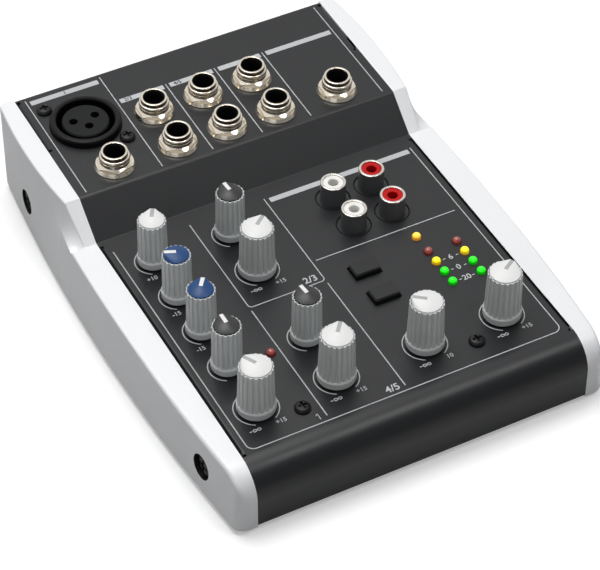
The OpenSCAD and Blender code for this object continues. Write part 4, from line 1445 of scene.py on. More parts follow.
    def cap(self) -> Piece:
        """Shapes the cap, which rises to a level ridge from its middle to its edge.

        Returns:
            The cap.
        """
        height = self.size.height
        depth = self.cap_seat + self.cap_lift
        round_off = {"vertices": 72, "radius": self.cap_r, "depth": depth}
        disc = Bench.add(bpy.ops.mesh.primitive_cylinder_add, "cap_disc", **round_off)
        Bench.place(disc, Matrix.Translation((0, 0, height + self.cap_lift - depth / 2)))
        size = (self.ridge_w, self.ridge_l + self.ridge_w / 2, self.cap_rise)
        middle = (0, (self.ridge_l - self.ridge_w / 2) / 2, height + self.cap_rise / 2)
        piece = Bench.join([disc, self.block("ridge", size, middle)], f"{self.word}_crown")
        Bench.edit(piece)
        bpy.ops.mesh.select_all(action="SELECT")
        bpy.ops.mesh.convex_hull()
        Bench.close()
        Bench.modify(piece, "BEVEL", width=self.cap_edge, segments=3, limit_method="ANGLE")
        Bench.soften(piece)
        return piece

    def pointer(self) -> Piece:
        """Shapes the pointer, a thin bar along the ridge.

        Returns:
            The pointer.
        """
        length = self.ridge_l - self.pointer_inset
        top = self.size.height + self.cap_rise + self.pointer_proud
        middle = (0, length / 2, top - self.pointer_h / 2)
        piece = self.block("bar", (self.pointer_w, length, self.pointer_h), middle)
        Bench.modify(piece, "BEVEL", width=self.pointer_edge, segments=2, limit_method="ANGLE")
        Bench.soften(piece)
        return piece


class CapTone(Enum):
    """The colours of cap, each with its finish, its pointer's finish and their slots."""

    WHITE = (CAP_WHITE, "cap_white", POINTER_GREY, "knob_grey")
    BLUE = (CAP_BLUE, "cap_blue", CAP_WHITE, "cap_white")
    DARK = (CAP_DARK, "cap_dark", CAP_WHITE, "cap_white")


@dataclass(frozen=True)
class Control:
    """A rotary control: its name, its size, its cap and the numbers at its scale's ends."""

    name: str
    kind: KnobKind
    tone: CapTone
    low_mark: str = ""
    high_mark: str = ""


CONTROLS = (
    Control("trim", KnobKind.SMALL, CapTone.WHITE, "+10", "+60"),
    Control("high_tone", KnobKind.SMALL, CapTone.BLUE, "-15", "+15"),
    Control("low_tone", KnobKind.SMALL, CapTone.BLUE, "-15", "+15"),
    Control("pan", KnobKind.SMALL, CapTone.DARK),
    Control("level_1", KnobKind.LARGE, CapTone.WHITE, "-∞", "+15"),
    Control("balance_23", KnobKind.SMALL, CapTone.DARK),
    Control("level_23", KnobKind.LARGE, CapTone.WHITE, "-∞", "+15"),
    Control("balance_45", KnobKind.SMALL, CapTone.DARK),
    Control("level_45", KnobKind.LARGE, CapTone.WHITE, "-∞", "+15"),
    Control("phones", KnobKind.LARGE, CapTone.WHITE, "-∞", "10"),
    Control("main", KnobKind.LARGE, CapTone.WHITE, "-∞", "+15"),
)


@dataclass
class Knobs:
    """All the knobs, copied from two models and set at their controls.

    Attributes:
        panel: Panel that they stand on.
        joints: Joints of the frame, by the name of the body that they move.
    """

    panel: Panel
    joints: dict[str, dict]

    def place(self, control: Control) -> Matrix:
        """Finds a knob's place at rest: in the middle of its joint's range it points to the rear.

        Args:
            control: The control that it turns.

        Returns:
            The place.
        """
        joint = self.joints[control.name]
        x, y, _ = (value / MM for value in joint["pos_m"])
        return self.panel.place(x, y, -math.radians(sum(joint["range_deg"]) / 2))

    def build(self) -> None:
        """Models both kinds and sets a copy at each control."""
        for kind in KnobKind:
            model = KnobModel(kind)
            masters = (model.grip(), model.cap(), model.pointer())
            for control in (c for c in CONTROLS if c.kind is kind):
                finish, slot, mark, mark_slot = control.tone.value
                looks = (
                    ("grip", KNOB_GREY, "knob_grey", [f"{control.name}_knob"]),
                    ("crown", finish, slot, [f"{control.name}_cap"]),
                    ("pointer", mark, mark_slot, []),
                )
                for master, (word, skin, skin_slot, nodes) in zip(masters, looks):
                    piece = Bench.copy(master, f"{control.name}_{word}")
                    Bench.place(piece, self.place(control))
                    dress(piece, skin, control.name, skin_slot, nodes)
            for master in masters:
                bpy.data.objects.remove(master)


@dataclass
class Jacks:
    """The jack sockets on the panel: turned bushings and flanged hexagon nuts.

    Attributes:
        places: Where the sockets stand, the line input first.
        bore_r, bush_r: Inner and outer radius of a bushing.
        bush_low, bush_top: Ends of a bushing from the panel.
        lip_r, lip_d: Radius where the bright lip ends and the bore painted black as shade starts, and
            its depth.
        mouth_d: Depth at which the bore has its own radius.
        lip_shade: Depth below the lip from which the bore is painted black as shade.
        skin: Distance inside the outer radius that still counts as thread.
        washer_r, washer_h: Radius of a nut's flange, and height where the hexagon starts.
        rim_h: Height of the flange's rim.
        flare_r, flare_h: Radius where the flange meets the hexagon, and height of its slope.
        hex_r, hex_h: Hexagon of a nut, to its corners.
        collar_r, collar_h, waist: Round collar on a nut, and the depth of its hollow.
        waist_z, swell_z: Shares of the collar's height where it is narrow and wide again.
        root: How far the collar is set back inside the hexagon.
        chamfer_h: Height over which the hexagon's corners are turned off.
        thread_end: How far a bushing's thread ends below its lip.
        fit: Clearance between pieces, and between a turned cut and the hexagon.
        hole_gap, drill_l: Gap round the bushing, and reach of the drill beyond a nut.
        nearest_turn: Turn of the first nut, which sits askew to the others.
        round_steps, crease_deg: Steps round a nut, and the angle that shows as a crease on it.
    """

    places: list[Matrix]
    bore_r: float = 3.25
    bush_r: float = 4.4
    bush_low: float = -8.2
    bush_top: float = 6.4
    lip_r: float = 3.68
    lip_d: float = 0.9
    mouth_d: float = 2.0
    lip_shade: float = 0.12
    skin: float = 0.1
    washer_r: float = 6.85
    washer_h: float = 0.6
    rim_h: float = 0.3
    flare_r: float = 6.2
    flare_h: float = 1.15
    hex_r: float = 6.35
    hex_h: float = 1.8
    collar_r: float = 5.05
    collar_h: float = 2.6
    waist: float = 0.2
    waist_z: float = 0.35
    swell_z: float = 0.6
    root: float = 0.3
    chamfer_h: float = 0.8
    thread_end: float = 0.45
    fit: float = 0.05
    hole_gap: float = 0.02
    drill_l: float = 2.0
    nearest_turn: float = -0.28
    round_steps: int = 96
    crease_deg: float = 25.0

    def bushing(self) -> Piece:
        """Turns a bushing with a rounded lip, its bore painted black as shade below the lip and its
        thread painted darker as shade.

        Returns:
            The bushing, at the origin.
        """
        thread_z = self.bush_top - self.thread_end
        corners = [
            (self.bore_r, self.bush_low),
            (self.bush_r, self.bush_low),
            (self.bush_r, thread_z),
            (self.bush_r, self.bush_top, 0.38),
            (self.lip_r, self.bush_top, 0.2),
            (self.bore_r + self.fit, self.bush_top - self.lip_d, 0.3),
            (self.bore_r, self.bush_top - self.mouth_d),
            (self.bore_r, self.bush_low),
        ]
        piece = Bench.turned("bushing_model", corners, NICKEL)
        low, side = self.bush_top - self.lip_shade, self.bush_r - self.skin

        def in_shaded_bore(co: Vector) -> bool:
            """Says whether a face with its middle here is in the bore below the lip, painted black as
            shade.
            """
            return math.hypot(co.x, co.y) < self.lip_r and co.z < low

        def on_thread(co: Vector) -> bool:
            """Says whether a face with its middle here is on the thread, painted darker as shade in
            its grooves.
            """
            return math.hypot(co.x, co.y) > side and co.z < thread_z

        # The bore below the lip is painted black as shade.
        Bench.paint(piece, SHADE_BLACK, in_shaded_bore)
        Bench.paint(piece, THREAD_SHADE, on_thread)
        return piece

    def nut(self) -> Piece:
        """Shapes a nut: hexagon with its corners turned off, flange and rounded collar.

        Returns:
            The nut, at the origin.
        """
        top = self.washer_h + self.hex_h
        flare_z, collar_z = self.rim_h + self.flare_h, top + self.collar_h
        hexagon = {"vertices": 6, "radius": self.hex_r, "depth": top}
        piece = Bench.add(bpy.ops.mesh.primitive_cylinder_add, "nut_model", **hexagon)
        Bench.place(piece, Matrix.Translation((0, 0, top / 2)))
        outer, root_r = self.hex_r + self.fit, self.collar_r - self.root
        cone = [
            (0, -self.drill_l),
            (outer, -self.drill_l),
            (outer, top - self.chamfer_h, 0.3),
            (self.collar_r + self.fit, top),
            (0, top),
        ]
        turning = Bench.lathe("nut_turning", outline(cone, 8), self.round_steps)
        Bench.carve(piece, turning, "INTERSECT")
        ring = [
            (0, 0),
            (self.washer_r, 0),
            (self.washer_r, self.rim_h, 0.15),
            (self.flare_r, flare_z),
            (root_r, flare_z),
            (root_r, top - self.root),
            (self.collar_r, top - 0.25),
            (self.collar_r - self.waist, top + self.waist_z * self.collar_h, 0.5),
            (self.collar_r, top + self.swell_z * self.collar_h, 0.4),
            (self.collar_r - self.fit, collar_z, 0.6),
            (0, collar_z),
        ]
        Bench.carve(piece, Bench.lathe("nut_rounds", outline(ring), self.round_steps), "UNION")
        hole_r, low, high = self.bush_r + self.hole_gap, -self.drill_l, collar_z + self.drill_l
        hole = [(0, low), (hole_r, low), (hole_r, high), (0, high)]
        Bench.carve(piece, Bench.lathe("nut_hole", hole, 72), "DIFFERENCE")
        Bench.soften(piece, self.crease_deg)
        return piece

    def build(self) -> None:
        """Models one of each and sets them at every socket."""
        bushings = Bench.scatter(self.bushing(), self.places, "turned_bushings")
        dress(bushings, NICKEL, "case", "nickel", ["jack_bushings"])
        nearest, *others = self.places
        spots = [nearest @ Matrix.Rotation(self.nearest_turn, 4, "Z"), *others]
        nuts = Bench.scatter(self.nut(), spots, "hexagon_nuts")
        dress(nuts, NICKEL, "case", "nickel", ["jack_nuts"])


@dataclass
class Phonos:
    """The phono sockets: nickel barrels with coloured inserts.

    Attributes:
        white: Where the white sockets stand.
        red: Where the red sockets stand.
        barrel_r, wall: Radius and wall of a barrel.
        low, top: Ends of a barrel from the panel.
        bright, skin: Length of a barrel's bright end, and the distance inside its radius that
            still counts as its side, painted darker as the reflection of the dark panel.
        bore_r, bore_l: Hole in an insert, and its depth.
        dark_d: Depth from which that hole is painted black as shade.
        mouth_w, mouth_h: How far the hole opens out at its mouth, and over which height.
        sink: How far an insert lies below the barrel's end.
        fit: Clearance round an insert.
    """

    white: list[Matrix]
    red: list[Matrix]
    barrel_r: float = 4.2
    wall: float = 0.9
    low: float = -5.0
    top: float = 7.3
    bright: float = 1.0
    skin: float = 0.05
    bore_r: float = 1.6
    bore_l: float = 9.0
    dark_d: float = 6.0
    mouth_w: float = 0.15
    mouth_h: float = 0.5
    sink: float = 0.4
    fit: float = 0.02

    def barrel(self) -> Piece:
        """Turns a barrel with a rounded end, its side painted darker as the reflection of the dark
        panel.

        Returns:
            The barrel, at the origin.
        """
        inner = self.barrel_r - self.wall
        corners = [
            (inner, self.low),
            (self.barrel_r, self.low),
            (self.barrel_r, self.top, 0.3),
            (inner, self.top, 0.2),
            (inner, self.low),
        ]
        piece = Bench.turned("barrel_model", corners, BARREL)
        side, end = self.barrel_r - self.skin, self.top - self.bright
        # The barrel's side is painted darker than its end, as the reflection of the dark panel.
        Bench.paint(piece, BARREL_SIDE_REFLECTION, lambda co: math.hypot(co.x, co.y) > side and co.z < end)
        return piece

    def insert(self, finish: Finish) -> Piece:
        """Turns an insert with a hole that is painted black as shade at its bottom.

        Args:
            finish: The insert's finish.

        Returns:
            The insert, at the origin.
        """
        top = self.top - self.sink
        r = self.barrel_r - self.wall - self.fit
        corners = [
            (0, self.low),
            (r, self.low),
            (r, top, 0.1),
            (self.bore_r + self.mouth_w, top, 0.06),
            (self.bore_r, top - self.mouth_h, 0.2),
            (self.bore_r, top - self.bore_l),
            (0, top - self.bore_l),
        ]
        piece = Bench.turned("insert_model", corners, finish, 64)
        reach, end = self.bore_r + self.fit, top - self.dark_d

        def in_shaded_hole(co: Vector) -> bool:
            """Says whether a face with its middle here is low in the hole, where it is painted black
            as shade.
            """
            return math.hypot(co.x, co.y) < reach and self.low < co.z < end

        Bench.paint(piece, SHADE_BLACK, in_shaded_hole)
        return piece

    def build(self) -> None:
        """Models a barrel and two inserts and sets them at every socket."""
        barrels = Bench.scatter(self.barrel(), self.white + self.red, "phono_rings")
        dress(barrels, BARREL, "case", "nickel", ["phono_barrels"])
        for word, finish, places in (
            ("white", INSERT_WHITE, self.white),
            ("red", INSERT_RED, self.red),
        ):
            cores = Bench.scatter(self.insert(finish), places, f"{word}_phono_cores")
            dress(cores, finish, "case", f"insert_{word}", [f"phono_inserts_{word}"])


@dataclass
class Lamps:
    """The lamps in the control panel, each a coloured dome on a spacer.

    Attributes:
        panel: Panel that they look out of.
        r, proud: Radius of a dome, and height of its foot above the panel.
        board_z: Height of the board, below the panel.
        spacer_r, spacer_h: Spacer under a lamp.
        columns: The meter's two columns.
        rows: The meter's rows, from the lowest.
        power_y: Place of the power lamp in the left column.
        clip: Place of the overload lamp.
    """

    panel: Panel
    r: float = 1.5
    proud: float = 0.3
    board_z: float = -7.8
    spacer_r: float = 1.9
    spacer_h: float = 4.0
    columns: Point = (34.7, 45.1)
    rows: tuple[float, ...] = (-43.44, -38.31, -33.18, -28.05)
    power_y: float = -20.45
    clip: Point = (-30.3, -44.75)

    def model(self) -> Piece:
        """Turns a lamp with its spacer.

        Returns:
            The lamp, at the origin.
        """
        step = self.board_z + self.spacer_h
        points = [(0.0, self.board_z), (self.spacer_r, self.board_z), (self.spacer_r, step)]
        points.append((self.r, step))
        for turn in spread(0, QUARTER_TURN, 12):
            points.append((self.r * math.cos(turn), self.proud + self.r * math.sin(turn)))
        piece = Bench.lathe("lamp_model", points, 48)
        Bench.soften(piece)
        return piece

    def build(self) -> None:
        """Sets every lamp in its colour."""
        left, right = self.columns
        pairs = [[(left, y), (right, y)] for y in self.rows]
        groups = (
            ("green_lamps", LAMP_GREEN, "lamp_green", ["leds_green"], pairs[0] + pairs[1]),
            ("yellow_lamps", LAMP_YELLOW, "lamp_yellow", ["leds_yellow"], pairs[2]),
            ("power_lamp", LAMP_AMBER, "lamp_yellow", [], [(left, self.power_y)]),
            ("red_lamps", LAMP_RED, "lamp_red", ["leds_red"], [*pairs[3], self.clip]),
        )
        for name, finish, slot, nodes, spots in groups:
            places = [self.panel.place(x, y) for x, y in spots]
            dress(Bench.scatter(self.model(), places, name), finish, "case", slot, nodes)


@dataclass
class PanelPrint:
    """Ink on one panel: lines, bars, scales and plain numbers.

    Attributes:
        name: Name of the printed piece.
        panel: Panel that carries it.
        line_w: Width of a line.
        ink_h: Half the height of the ink.
        digit_size: Size of the numbers.
        mark_gap: Gap between a scale and the middle of its numbers.
        weight: Share of a number's size by which its strokes are thickened.
        bar_r: Radius of a bar's corners.
        lines: Lines, each as its points in plan.
        bars: Bars, each as two opposite corners in plan.
        numbers: Numbers, each as its words, its place in plan and its size.
    """

    name: str
    panel: Panel
    line_w: float = 0.4
    ink_h: float = 0.03
    digit_size: float = 2.3
    mark_gap: float = 2.1
    weight: float = 0.016
    bar_r: float = 0.15
    lines: list[list[Point]] = field(default_factory=list)
    bars: list[tuple[Point, Point]] = field(default_factory=list)
    numbers: list[tuple[str, Point, float]] = field(default_factory=list)

    @staticmethod
    def arc(centre: Point, radius: float, start: float, end: float) -> list[Point]:
        """Finds the points of an arc.

        Args:
            centre: Middle of the arc.
            radius: Its radius.
            start: First angle from +X, anticlockwise, in degrees.
            end: Last angle.

        Returns:
            The points.
        """
        steps = max(4, round(abs(end - start) / 6))
        turns = [math.radians(angle) for angle in spread(start, end, steps)]
        return [(centre[0] + radius * math.cos(t), centre[1] + radius * math.sin(t)) for t in turns]

    def frame(self, low: Point, high: Point, r: float) -> None:
        """Draws a frame that is open at the rear, with round corners at the front.

        Args:
            low: Its left end at the front.
            high: Its right end at the rear.
            r: Radius of its corners.
        """
        left = self.arc((low[0] + r, low[1] + r), r, 180, 270)
        right = self.arc((high[0] - r, low[1] + r), r, 270, 360)
        self.lines.append([(low[0], high[1]), *left, *right, high])

    def scale_round(self, place: Point, radius: float, gap: float, marks: tuple[str, str]) -> None:
        """Draws the scale of a rotary control.

        Args:
            place: Middle of the control.
            radius: Radius of the scale.
            gap: Half of its opening at the front, in degrees.
            marks: Numbers at its two ends.
        """
        self.lines.append(self.arc(place, radius, gap - 90, 270 - gap))
        turn, reach = math.radians(gap), radius + self.mark_gap
        for mark, side in zip(marks, (-1, 1)):
            spot = (place[0] + side * reach * math.sin(turn), place[1] - reach * math.cos(turn))
            if mark:
                self.numbers.append((mark, spot, self.digit_size))

    def no_level(self, place: Point, size: float) -> None:
        """Draws a minus and a lying eight, the sign for no level at all.

        Args:
            place: Middle of the sign.
            size: Size of a number beside it.
        """
        eight_x, eight_r, dash_x, dash_l = 0.45, 0.56, -2.0, 0.75
        x, y = place
        points = []
        for turn in spread(0, FULL_TURN, 32):
            reach = eight_r * size / (1 + math.sin(turn) ** 2)
            across, along = reach * math.cos(turn), reach * math.sin(turn) * math.cos(turn)
            points.append((x + eight_x + across, y + along))
        self.lines += [points, [(x + dash_x, y), (x + dash_x + dash_l, y)]]

    def plan(self, place: Point) -> tuple[float, float]:
        """Returns a place in plan as a place on the panel's own grid."""
        return place[0], (place[1] - self.panel.point.y) / self.panel.normal.z

    def line_piece(self) -> Piece:
        """Draws all the lines as one flat curve and makes it a mesh.

        Returns:
            The lines.
        """
        drawn = Bench.add(bpy.ops.curve.primitive_bezier_curve_add, f"{self.name}_lines")
        curve = drawn.data
        curve.splines.clear()
        curve.dimensions = "3D"
        curve.bevel_depth = self.line_w / 2
        curve.bevel_resolution = 1
        curve.use_fill_caps = True
        for points in self.lines:
            spline = curve.splines.new("POLY")
            spline.points.add(len(points) - 1)
            for knot, point in zip(spline.points, points):
                knot.co = (*self.plan(point), 0, 1)
        bpy.ops.object.convert(target="MESH")
        drawn = bpy.context.object
        Bench.place(drawn, Matrix.Scale(2 * self.ink_h / self.line_w, 4, (0, 0, 1)))
        return drawn

    def bar_piece(self, low: Point, high: Point) -> Piece:
        """Lays down one bar with slightly rounded corners.

        Args:
            low: One corner in plan.
            high: The opposite corner.

        Returns:
            The bar.
        """
        piece = Bench.add(bpy.ops.mesh.primitive_plane_add, f"{self.name}_bar", size=1)
        start, end = self.plan(low), self.plan(high)
        middle = Vector(((start[0] + end[0]) / 2, (start[1] + end[1]) / 2, -self.ink_h))
        size = Matrix.Diagonal((end[0] - start[0], end[1] - start[1], 1, 1))
        Bench.place(piece, Matrix.Translation(middle) @ size)
        Bench.modify(piece, "BEVEL", width=self.bar_r, segments=3, affect="VERTICES")
        Bench.modify(piece, "SOLIDIFY", thickness=2 * self.ink_h, offset=1)
        return piece

    def number_piece(self, words: str, place: Point, size: float) -> Piece:
        """Sets one number as a mesh.

        Args:
            words: The number.
            place: Its middle in plan.
            size: Its size.

        Returns:
            The number.
        """
        label = Bench.add(bpy.ops.object.text_add, f"{self.name}_number")
        label.data.body = words
        label.data.size = size
        label.data.align_x = "CENTER"
        label.data.align_y = "CENTER"
        label.data.extrude = self.ink_h
        label.data.offset = self.weight * size
        bpy.ops.object.convert(target="MESH")
        label = bpy.context.object
        Bench.place(label, Matrix.Translation((*self.plan(place), 0)))
        return label

    def build(self, ink: Finish) -> None:
        """Prints the panel.

        Args:
            ink: The finish of the ink.
        """
        kept = []
        for words, place, size in self.numbers:
            if words.endswith("∞"):
                self.no_level(place, size)
            else:
                kept.append(self.number_piece(words, place, size))
        if self.lines:
            kept.append(self.line_piece())
        kept.extend(self.bar_piece(low, high) for low, high in self.bars)
        piece = Bench.join(kept, self.name)
        Bench.place(piece, self.panel.place(0, self.panel.point.y))
        dress(piece, ink, "case")


@dataclass
class Printing:
    """The print on the jack panel and on the control panel.

    Attributes:
        jack_panel: Panel at the rear.
        control_panel: Panel with the controls.
        joints: Joints of the frame, by the name of the body that they move.
        phonos: Places of the phono sockets in plan.
        edge_x: Border lines at both sides.
        jack_rear_y, jack_front_y: Ends of the lines on the jack panel.
        title_y, bar_h: Middle of the title bars over the jacks, and the height of a bar.
        first_drop, first_x: Middle of the first title bar from the rear ends of the lines, and
            its gaps to the lines at its left and right.
        bar_gap: Gap between a title bar and the lines beside it.
        title_size, title_x: Size of the numbers on the bars, and their place from a bar's line.
        title_ink_h: Half the height of those numbers' ink.
        dividers: Lines between the jacks.
        control_rear_y, control_front_y: Ends of the border on the control panel.
        corner_r, box_r: Radius of the border's corners, and of the stereo box's.
        box_x, box_front_y: Sides of the upper stereo box, and its lower edge.
        box_gaps: Gaps between the box, the two lines in front of it, and the border.
        shelf_x, shelf_y: Ends and place of the line in front of the phono sockets.
        phono_bar_gaps, phono_bar_drop: Title bar behind those sockets, from the lines round it.
        hole_r: Radius of the black rings of painted shade round the phono sockets.
        scale_gap, scale_open: Gap between a knob and its scale, and half the scale's opening.
        meter_x: Middle of the level meter.
        meter_y, meter_pitch: Its lowest row, and the pitch of its rows.
        meter_size: Size of its numbers.
        tick_x, tick_l: Start of a tick beside them, and its length.
        one: The stroke of the first channel's number.
        channel_size, channels: Size of the other channels' numbers, and their places.
    """

    jack_panel: Panel
    control_panel: Panel
    joints: dict[str, dict]
    phonos: list[Point]
    edge_x: float = 54.1
    jack_rear_y: float = 86.0
    jack_front_y: float = 37.2
    title_y: float = 71.9
    bar_h: float = 2.1
    first_drop: float = 1.85
    first_x: Point = (1.2, 1.3)
    bar_gap: float = 1.1
    title_size: float = 2.2
    title_x: float = 4.0
    title_ink_h: float = 0.045
    dividers: tuple[float, ...] = (-27.1, -8.9, 9.2, 27.2)
    control_rear_y: float = 18.1
    control_front_y: float = -77.2
    corner_r: float = 2.5
    box_r: float = 1.3
    box_x: Point = (-27.1, -0.3)
    box_front_y: float = -24.2
    box_gaps: Point = (1.5, 2.0)
    shelf_x: Point = (1.2, 52.0)
    shelf_y: float = -15.0
    phono_bar_gaps: Point = (1.5, 1.2)
    phono_bar_drop: float = 1.4
    hole_r: float = 5.65
    scale_gap: float = 0.8
    scale_open: float = 28.0
    meter_x: float = 39.9
    meter_y: float = -43.44
    meter_pitch: float = 5.13
    meter_size: float = 3.0
    tick_x: float = 1.9
    tick_l: float = 0.9
    one: tuple[Point, ...] = ((-30.2, -73.9), (-29.5, -73.3), (-29.5, -75.7))
    channel_size: float = 3.7
    channels: tuple[tuple[str, Point], ...] = (("2/3", (-4.4, -21.8)), ("4/5", (-4.4, -74.6)))

    def bar(self, left: float, right: float, y: float) -> tuple[Point, Point]:
        """Returns the corners of a bar by its ends and its middle line."""
        return (left, y - self.bar_h / 2), (right, y + self.bar_h / 2)

    def jack_side(self) -> None:
        """Prints the lines, title bars and channel numbers among the jacks."""
        ink = PanelPrint("jack_print", self.jack_panel)
        first, *others = self.dividers
        first_y = self.jack_rear_y - self.first_drop
        for x in (-self.edge_x, first, self.edge_x):
            ink.lines.append([(x, self.jack_rear_y), (x, self.jack_front_y)])
        for x in others:
            ink.lines.append([(x, self.title_y + self.bar_h / 2), (x, self.jack_front_y)])
        ink.bars.append(self.bar(self.first_x[0] - self.edge_x, first - self.first_x[1], first_y))
        stops = (*self.dividers, self.edge_x)
        for left, right in zip(stops, stops[1:]):
            ink.bars.append(self.bar(left + self.bar_gap, right - self.bar_gap, self.title_y))
        ink.build(INK_LIGHT)
        dark = PanelPrint("title_numbers", self.jack_panel, ink_h=self.title_ink_h)
        dark.numbers.append(("1", ((first - self.edge_x) / 2, first_y), self.title_size))
        for (words, _), left in zip(self.channels, stops):
            spot = (left + self.title_x, self.title_y)
            dark.numbers.append((words, spot, self.title_size))
        dark.build(INK_DARK)

    def borders(self, ink: PanelPrint) -> None:
        """Draws the borders, the lines between the channels and the bar behind the phonos.

        Args:
            ink: The print that takes them.
        """
        x, rear, front = self.edge_x, self.control_rear_y, self.control_front_y
        left, right = self.box_x
        ink.frame((-x, front), (x, rear), self.corner_r)
        ink.frame((left, self.box_front_y), (right, rear), self.box_r)
        for side in self.box_x:
            start, end = self.box_front_y - self.box_gaps[0], front + self.box_gaps[1]
            ink.lines.append([(side, start), (side, end)])
        ink.lines.append([(end_x, self.shelf_y) for end_x in self.shelf_x])
        start, end = right + self.phono_bar_gaps[0], x - self.phono_bar_gaps[1]
        ink.bars.append(self.bar(start, end, rear - self.phono_bar_drop))

    def meter(self, ink: PanelPrint) -> None:
        """Draws the level meter's numbers, each between two ticks.

        Args:
            ink: The print that takes them.
        """
        for row, words in enumerate(("20", "0", "6")):
            y = self.meter_y + row * self.meter_pitch
            ink.numbers.append((words, (self.meter_x, y), self.meter_size))
            for side in (-1, 1):
                start = self.meter_x + side * self.tick_x
                ink.lines.append([(start, y), (start + side * self.tick_l, y)])

    def control_side(self) -> None:
        """Prints the borders, scales, meter and channel numbers round the controls, and lays black
        rings of painted shade round the phono sockets.
        """
        ink = PanelPrint("control_print", self.control_panel)
        self.borders(ink)
        for control in CONTROLS:
            x, y, _ = (value / MM for value in self.joints[control.name]["pos_m"])
            radius = control.kind.value.base_r + self.scale_gap
            ink.scale_round((x, y), radius, self.scale_open, (control.low_mark, control.high_mark))
        self.meter(ink)
        ink.lines.append(list(self.one))
        for words, spot in self.channels:
            ink.numbers.append((words, spot, self.channel_size))
        ink.build(INK_LIGHT)
        # Black rings round the phono sockets, painted shade in the gap at each hole's edge.
        holes = PanelPrint("hole_rings", self.control_panel)
        holes.lines = [holes.arc(spot, self.hole_r, 0, 360) for spot in self.phonos]
        holes.build(SHADE_BLACK)

    def build(self) -> None:
        """Prints both panels."""
        self.jack_side()
        self.control_side()


class Softbox(Enum):
    """The square soft lamps, each by its place and width in metres, and its power."""

    REAR = ((-0.05, 0.3, 1.1), 0.6, 9.2)
    FRONT = ((-0.8, -0.8, 0.7), 0.8, 1.8)
    EDGE = ((0.37, -0.34, 1.0), 0.3, 2.2)


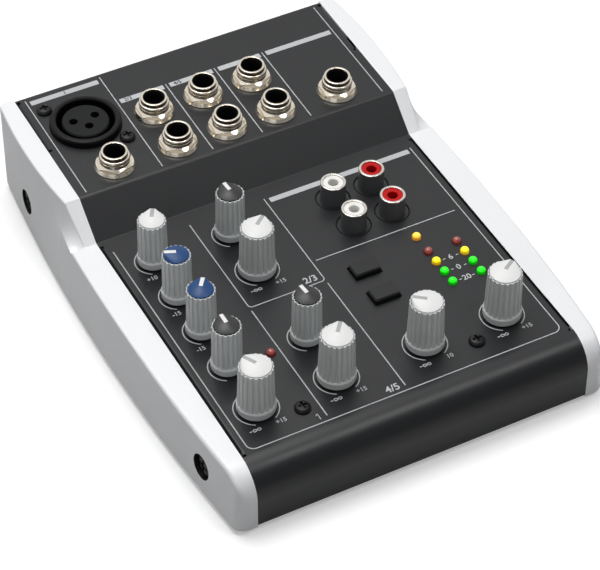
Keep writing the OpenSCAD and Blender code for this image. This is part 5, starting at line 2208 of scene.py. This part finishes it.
@dataclass
class Studio:
    """Camera, light and floor.

    Attributes:
        camera_mm: Place of the camera, in millimetres.
        camera_turn: Its turn about X, Y and Z, in degrees.
        lens, sensor_w: Its focal length and the width of its sensor.
        clip_m: Nearest and furthest distance that it sees, in metres.
        aim: Place that the lamps face, in metres.
        floor_w: Width of the floor, in metres.
        floor_bounce: Share of the light that the floor gives back to the object.
        floor_shade, floor_glow: Shaded share and even share of the floor's white, as it is seen.
        surround: Light from all round.
        front_white: Share of white that gloss shows of the room in front.
        front_fade: Directions along Y between which the room turns white.
    """

    camera_mm: Spot = (-282.63, -542.14, 588.66)
    camera_turn: Spot = (46.095, 0.0, -27.817)
    lens: float = 156.04
    sensor_w: float = 36.0
    clip_m: Point = (0.01, 50.0)
    aim: Spot = (0.0, 0.0, 0.02)
    floor_w: float = 8.0
    floor_bounce: float = 0.24
    floor_shade: float = 0.85
    floor_glow: float = 0.3
    surround: float = 0.17
    front_white: float = 0.3
    front_fade: Point = (-0.5, 0.3)

    def camera(self) -> None:
        """Sets the camera at the photograph's angle."""
        turn = tuple(math.radians(value) for value in self.camera_turn)
        stand = {"location": Vector(self.camera_mm) * MM, "rotation": turn}
        camera = Bench.add(bpy.ops.object.camera_add, "Camera", **stand)
        camera.data.lens = self.lens
        camera.data.sensor_width = self.sensor_w
        camera.data.sensor_fit = "HORIZONTAL"
        camera.data.clip_start, camera.data.clip_end = self.clip_m
        bpy.context.scene.camera = camera

    def lamps(self) -> None:
        """Hangs the soft lamps, all facing the console."""
        for box in Softbox:
            spot, width, power = box.value
            turn = (Vector(self.aim) - Vector(spot)).to_track_quat("-Z", "Y").to_euler()
            hang = {"type": "AREA", "location": spot, "rotation": turn}
            light = Bench.add(bpy.ops.object.light_add, f"{box.name.lower()}_softbox", **hang)
            light.data.shape = "SQUARE"
            light.data.size = width
            light.data.energy = power

    @staticmethod
    def show(tree: Tree, unseen: Socket, seen: Socket, target: str) -> None:
        """Ends a shader that the camera sees otherwise than the light does, also in gloss and glass.

        Args:
            tree: The shader's tree.
            unseen: Socket with the shader that lights the object.
            seen: Socket with the shader that shows.
            target: Kind of the output node.
        """
        path = Effects.node(tree, "LightPath").outputs
        gloss = Effects.sums(tree, "ADD", path["Is Camera Ray"], path["Is Glossy Ray"])
        every = Effects.sums(tree, "ADD", gloss, path["Is Transmission Ray"])
        share = Effects.sums(tree, "MINIMUM", every, 1)
        mix = Effects.node(tree, "MixShader", {"Fac": share, 1: unseen, 2: seen})
        Effects.node(tree, target, {"Surface": mix.outputs["Shader"]})

    def floor(self) -> None:
        """Lays a pale floor that keeps the object's shadow and gives little light back."""
        floor = Bench.add(bpy.ops.mesh.primitive_plane_add, "floor", size=self.floor_w)
        paint = bpy.data.materials.new("studio_floor")
        paint.use_nodes = True
        tree = paint.node_tree
        tree.nodes.clear()
        bounce, shade = (
            Effects.node(tree, "BsdfDiffuse", {"Color": (level, level, level, 1)}).outputs["BSDF"]
            for level in (self.floor_bounce, self.floor_shade)
        )
        camera_ray = Effects.node(tree, "LightPath").outputs["Is Camera Ray"]
        even = Effects.sums(tree, "MULTIPLY", camera_ray, self.floor_glow)
        glow = Effects.node(tree, "Emission", {"Strength": even}).outputs["Emission"]
        bright = Effects.node(tree, "AddShader", {0: shade, 1: glow}).outputs["Shader"]
        self.show(tree, bounce, bright, "OutputMaterial")
        floor.data.materials.append(paint)

    def world(self) -> None:
        """Gives soft light from all round, a white surround, and a dimmer front for gloss."""
        world = bpy.data.worlds.new("studio_surround")
        bpy.context.scene.world = world
        world.use_nodes = True
        tree = world.node_tree
        tree.nodes.clear()
        place = Effects.node(tree, "TexCoord").outputs["Generated"]
        way = Effects.node(tree, "SeparateXYZ", {"Vector": place}).outputs["Y"]
        low, high = self.front_fade
        span = {"From Min": low, "From Max": high, "To Min": self.front_white, "To Max": 1}
        fade = Effects.node(tree, "MapRange", {"Value": way, **span})
        fade.interpolation_type = "SMOOTHSTEP"
        camera_ray = Effects.node(tree, "LightPath").outputs["Is Camera Ray"]
        white = Effects.sums(tree, "MAXIMUM", camera_ray, fade.outputs["Result"])
        soft, room = (
            Effects.node(tree, "Background", {"Color": (1, 1, 1, 1), "Strength": level})
            for level in (self.surround, white)
        )
        self.show(tree, soft.outputs["Background"], room.outputs["Background"], "OutputWorld")

    def build(self) -> None:
        """Sets up the camera, the lamps, the floor and the surround."""
        self.camera()
        self.lamps()
        self.floor()
        self.world()
        bpy.context.scene.view_settings.view_transform = "Standard"


def mount_places(frame: dict, panel: Panel, word: str) -> dict[str, Matrix]:
    """Finds the places of the sockets on a panel.

    Args:
        frame: The loaded frame.
        panel: Panel that the sockets stand on.
        word: Ending of the mounts' names.

    Returns:
        The place of each socket, by the name of its mount.
    """
    made = {}
    for mount in frame["record"]["mounts"]:
        if mount["name"].endswith(word):
            pos, axis = Vector(mount["pos_m"]) / MM, Vector(mount["axis"])
            drop = (pos - panel.point).dot(panel.normal) / axis.dot(panel.normal)
            spot = pos - axis * drop
            made[mount["name"]] = panel.place(spot.x, spot.y)
    return made


def control_panel(joints: dict[str, dict]) -> Panel:
    """Finds the control panel from the foot of a knob's axis, which lies on it."""
    joint = joints["trim"]
    return Panel(Vector(joint["pos_m"]) / MM, Vector(joint["axis"]).normalized())


def jack_panel(frame: dict) -> Panel:
    """Finds the jack panel from the axis of a jack and the height of the cheeks beside it.

    Args:
        frame: The loaded frame.

    Returns:
        The panel.
    """
    mount = next(m for m in frame["record"]["mounts"] if m["name"] == "line_jack")
    y = mount["pos_m"][1] / MM
    height = Cheek(Side.RIGHT).jack_z(y)
    return Panel(Vector((0, y, height)), Vector(mount["axis"]).normalized())


def main() -> None:
    """Builds the console's looks in order."""
    logging.basicConfig(level=logging.INFO, format="%(message)s")
    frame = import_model()
    joints = {joint["child"]: joint for joint in frame["joints"]}
    CadNodes(frame).dress()
    control, rear = control_panel(joints), jack_panel(frame)
    for side in Side:
        Cheek(side).build()
    Knobs(control, joints).build()
    Jacks(list(mount_places(frame, rear, "_jack").values())).build()
    phonos = mount_places(frame, control, "_phono")
    white = [matrix for name, matrix in phonos.items() if name.startswith("left")]
    red = [matrix for name, matrix in phonos.items() if name.startswith("right")]
    Phonos(white, red).build()
    Lamps(control).build()
    spots = [(matrix.translation.x / MM, matrix.translation.y / MM) for matrix in phonos.values()]
    Printing(rear, control, joints, spots).build()
    Studio().build()


if __name__ == "__main__":
    main()
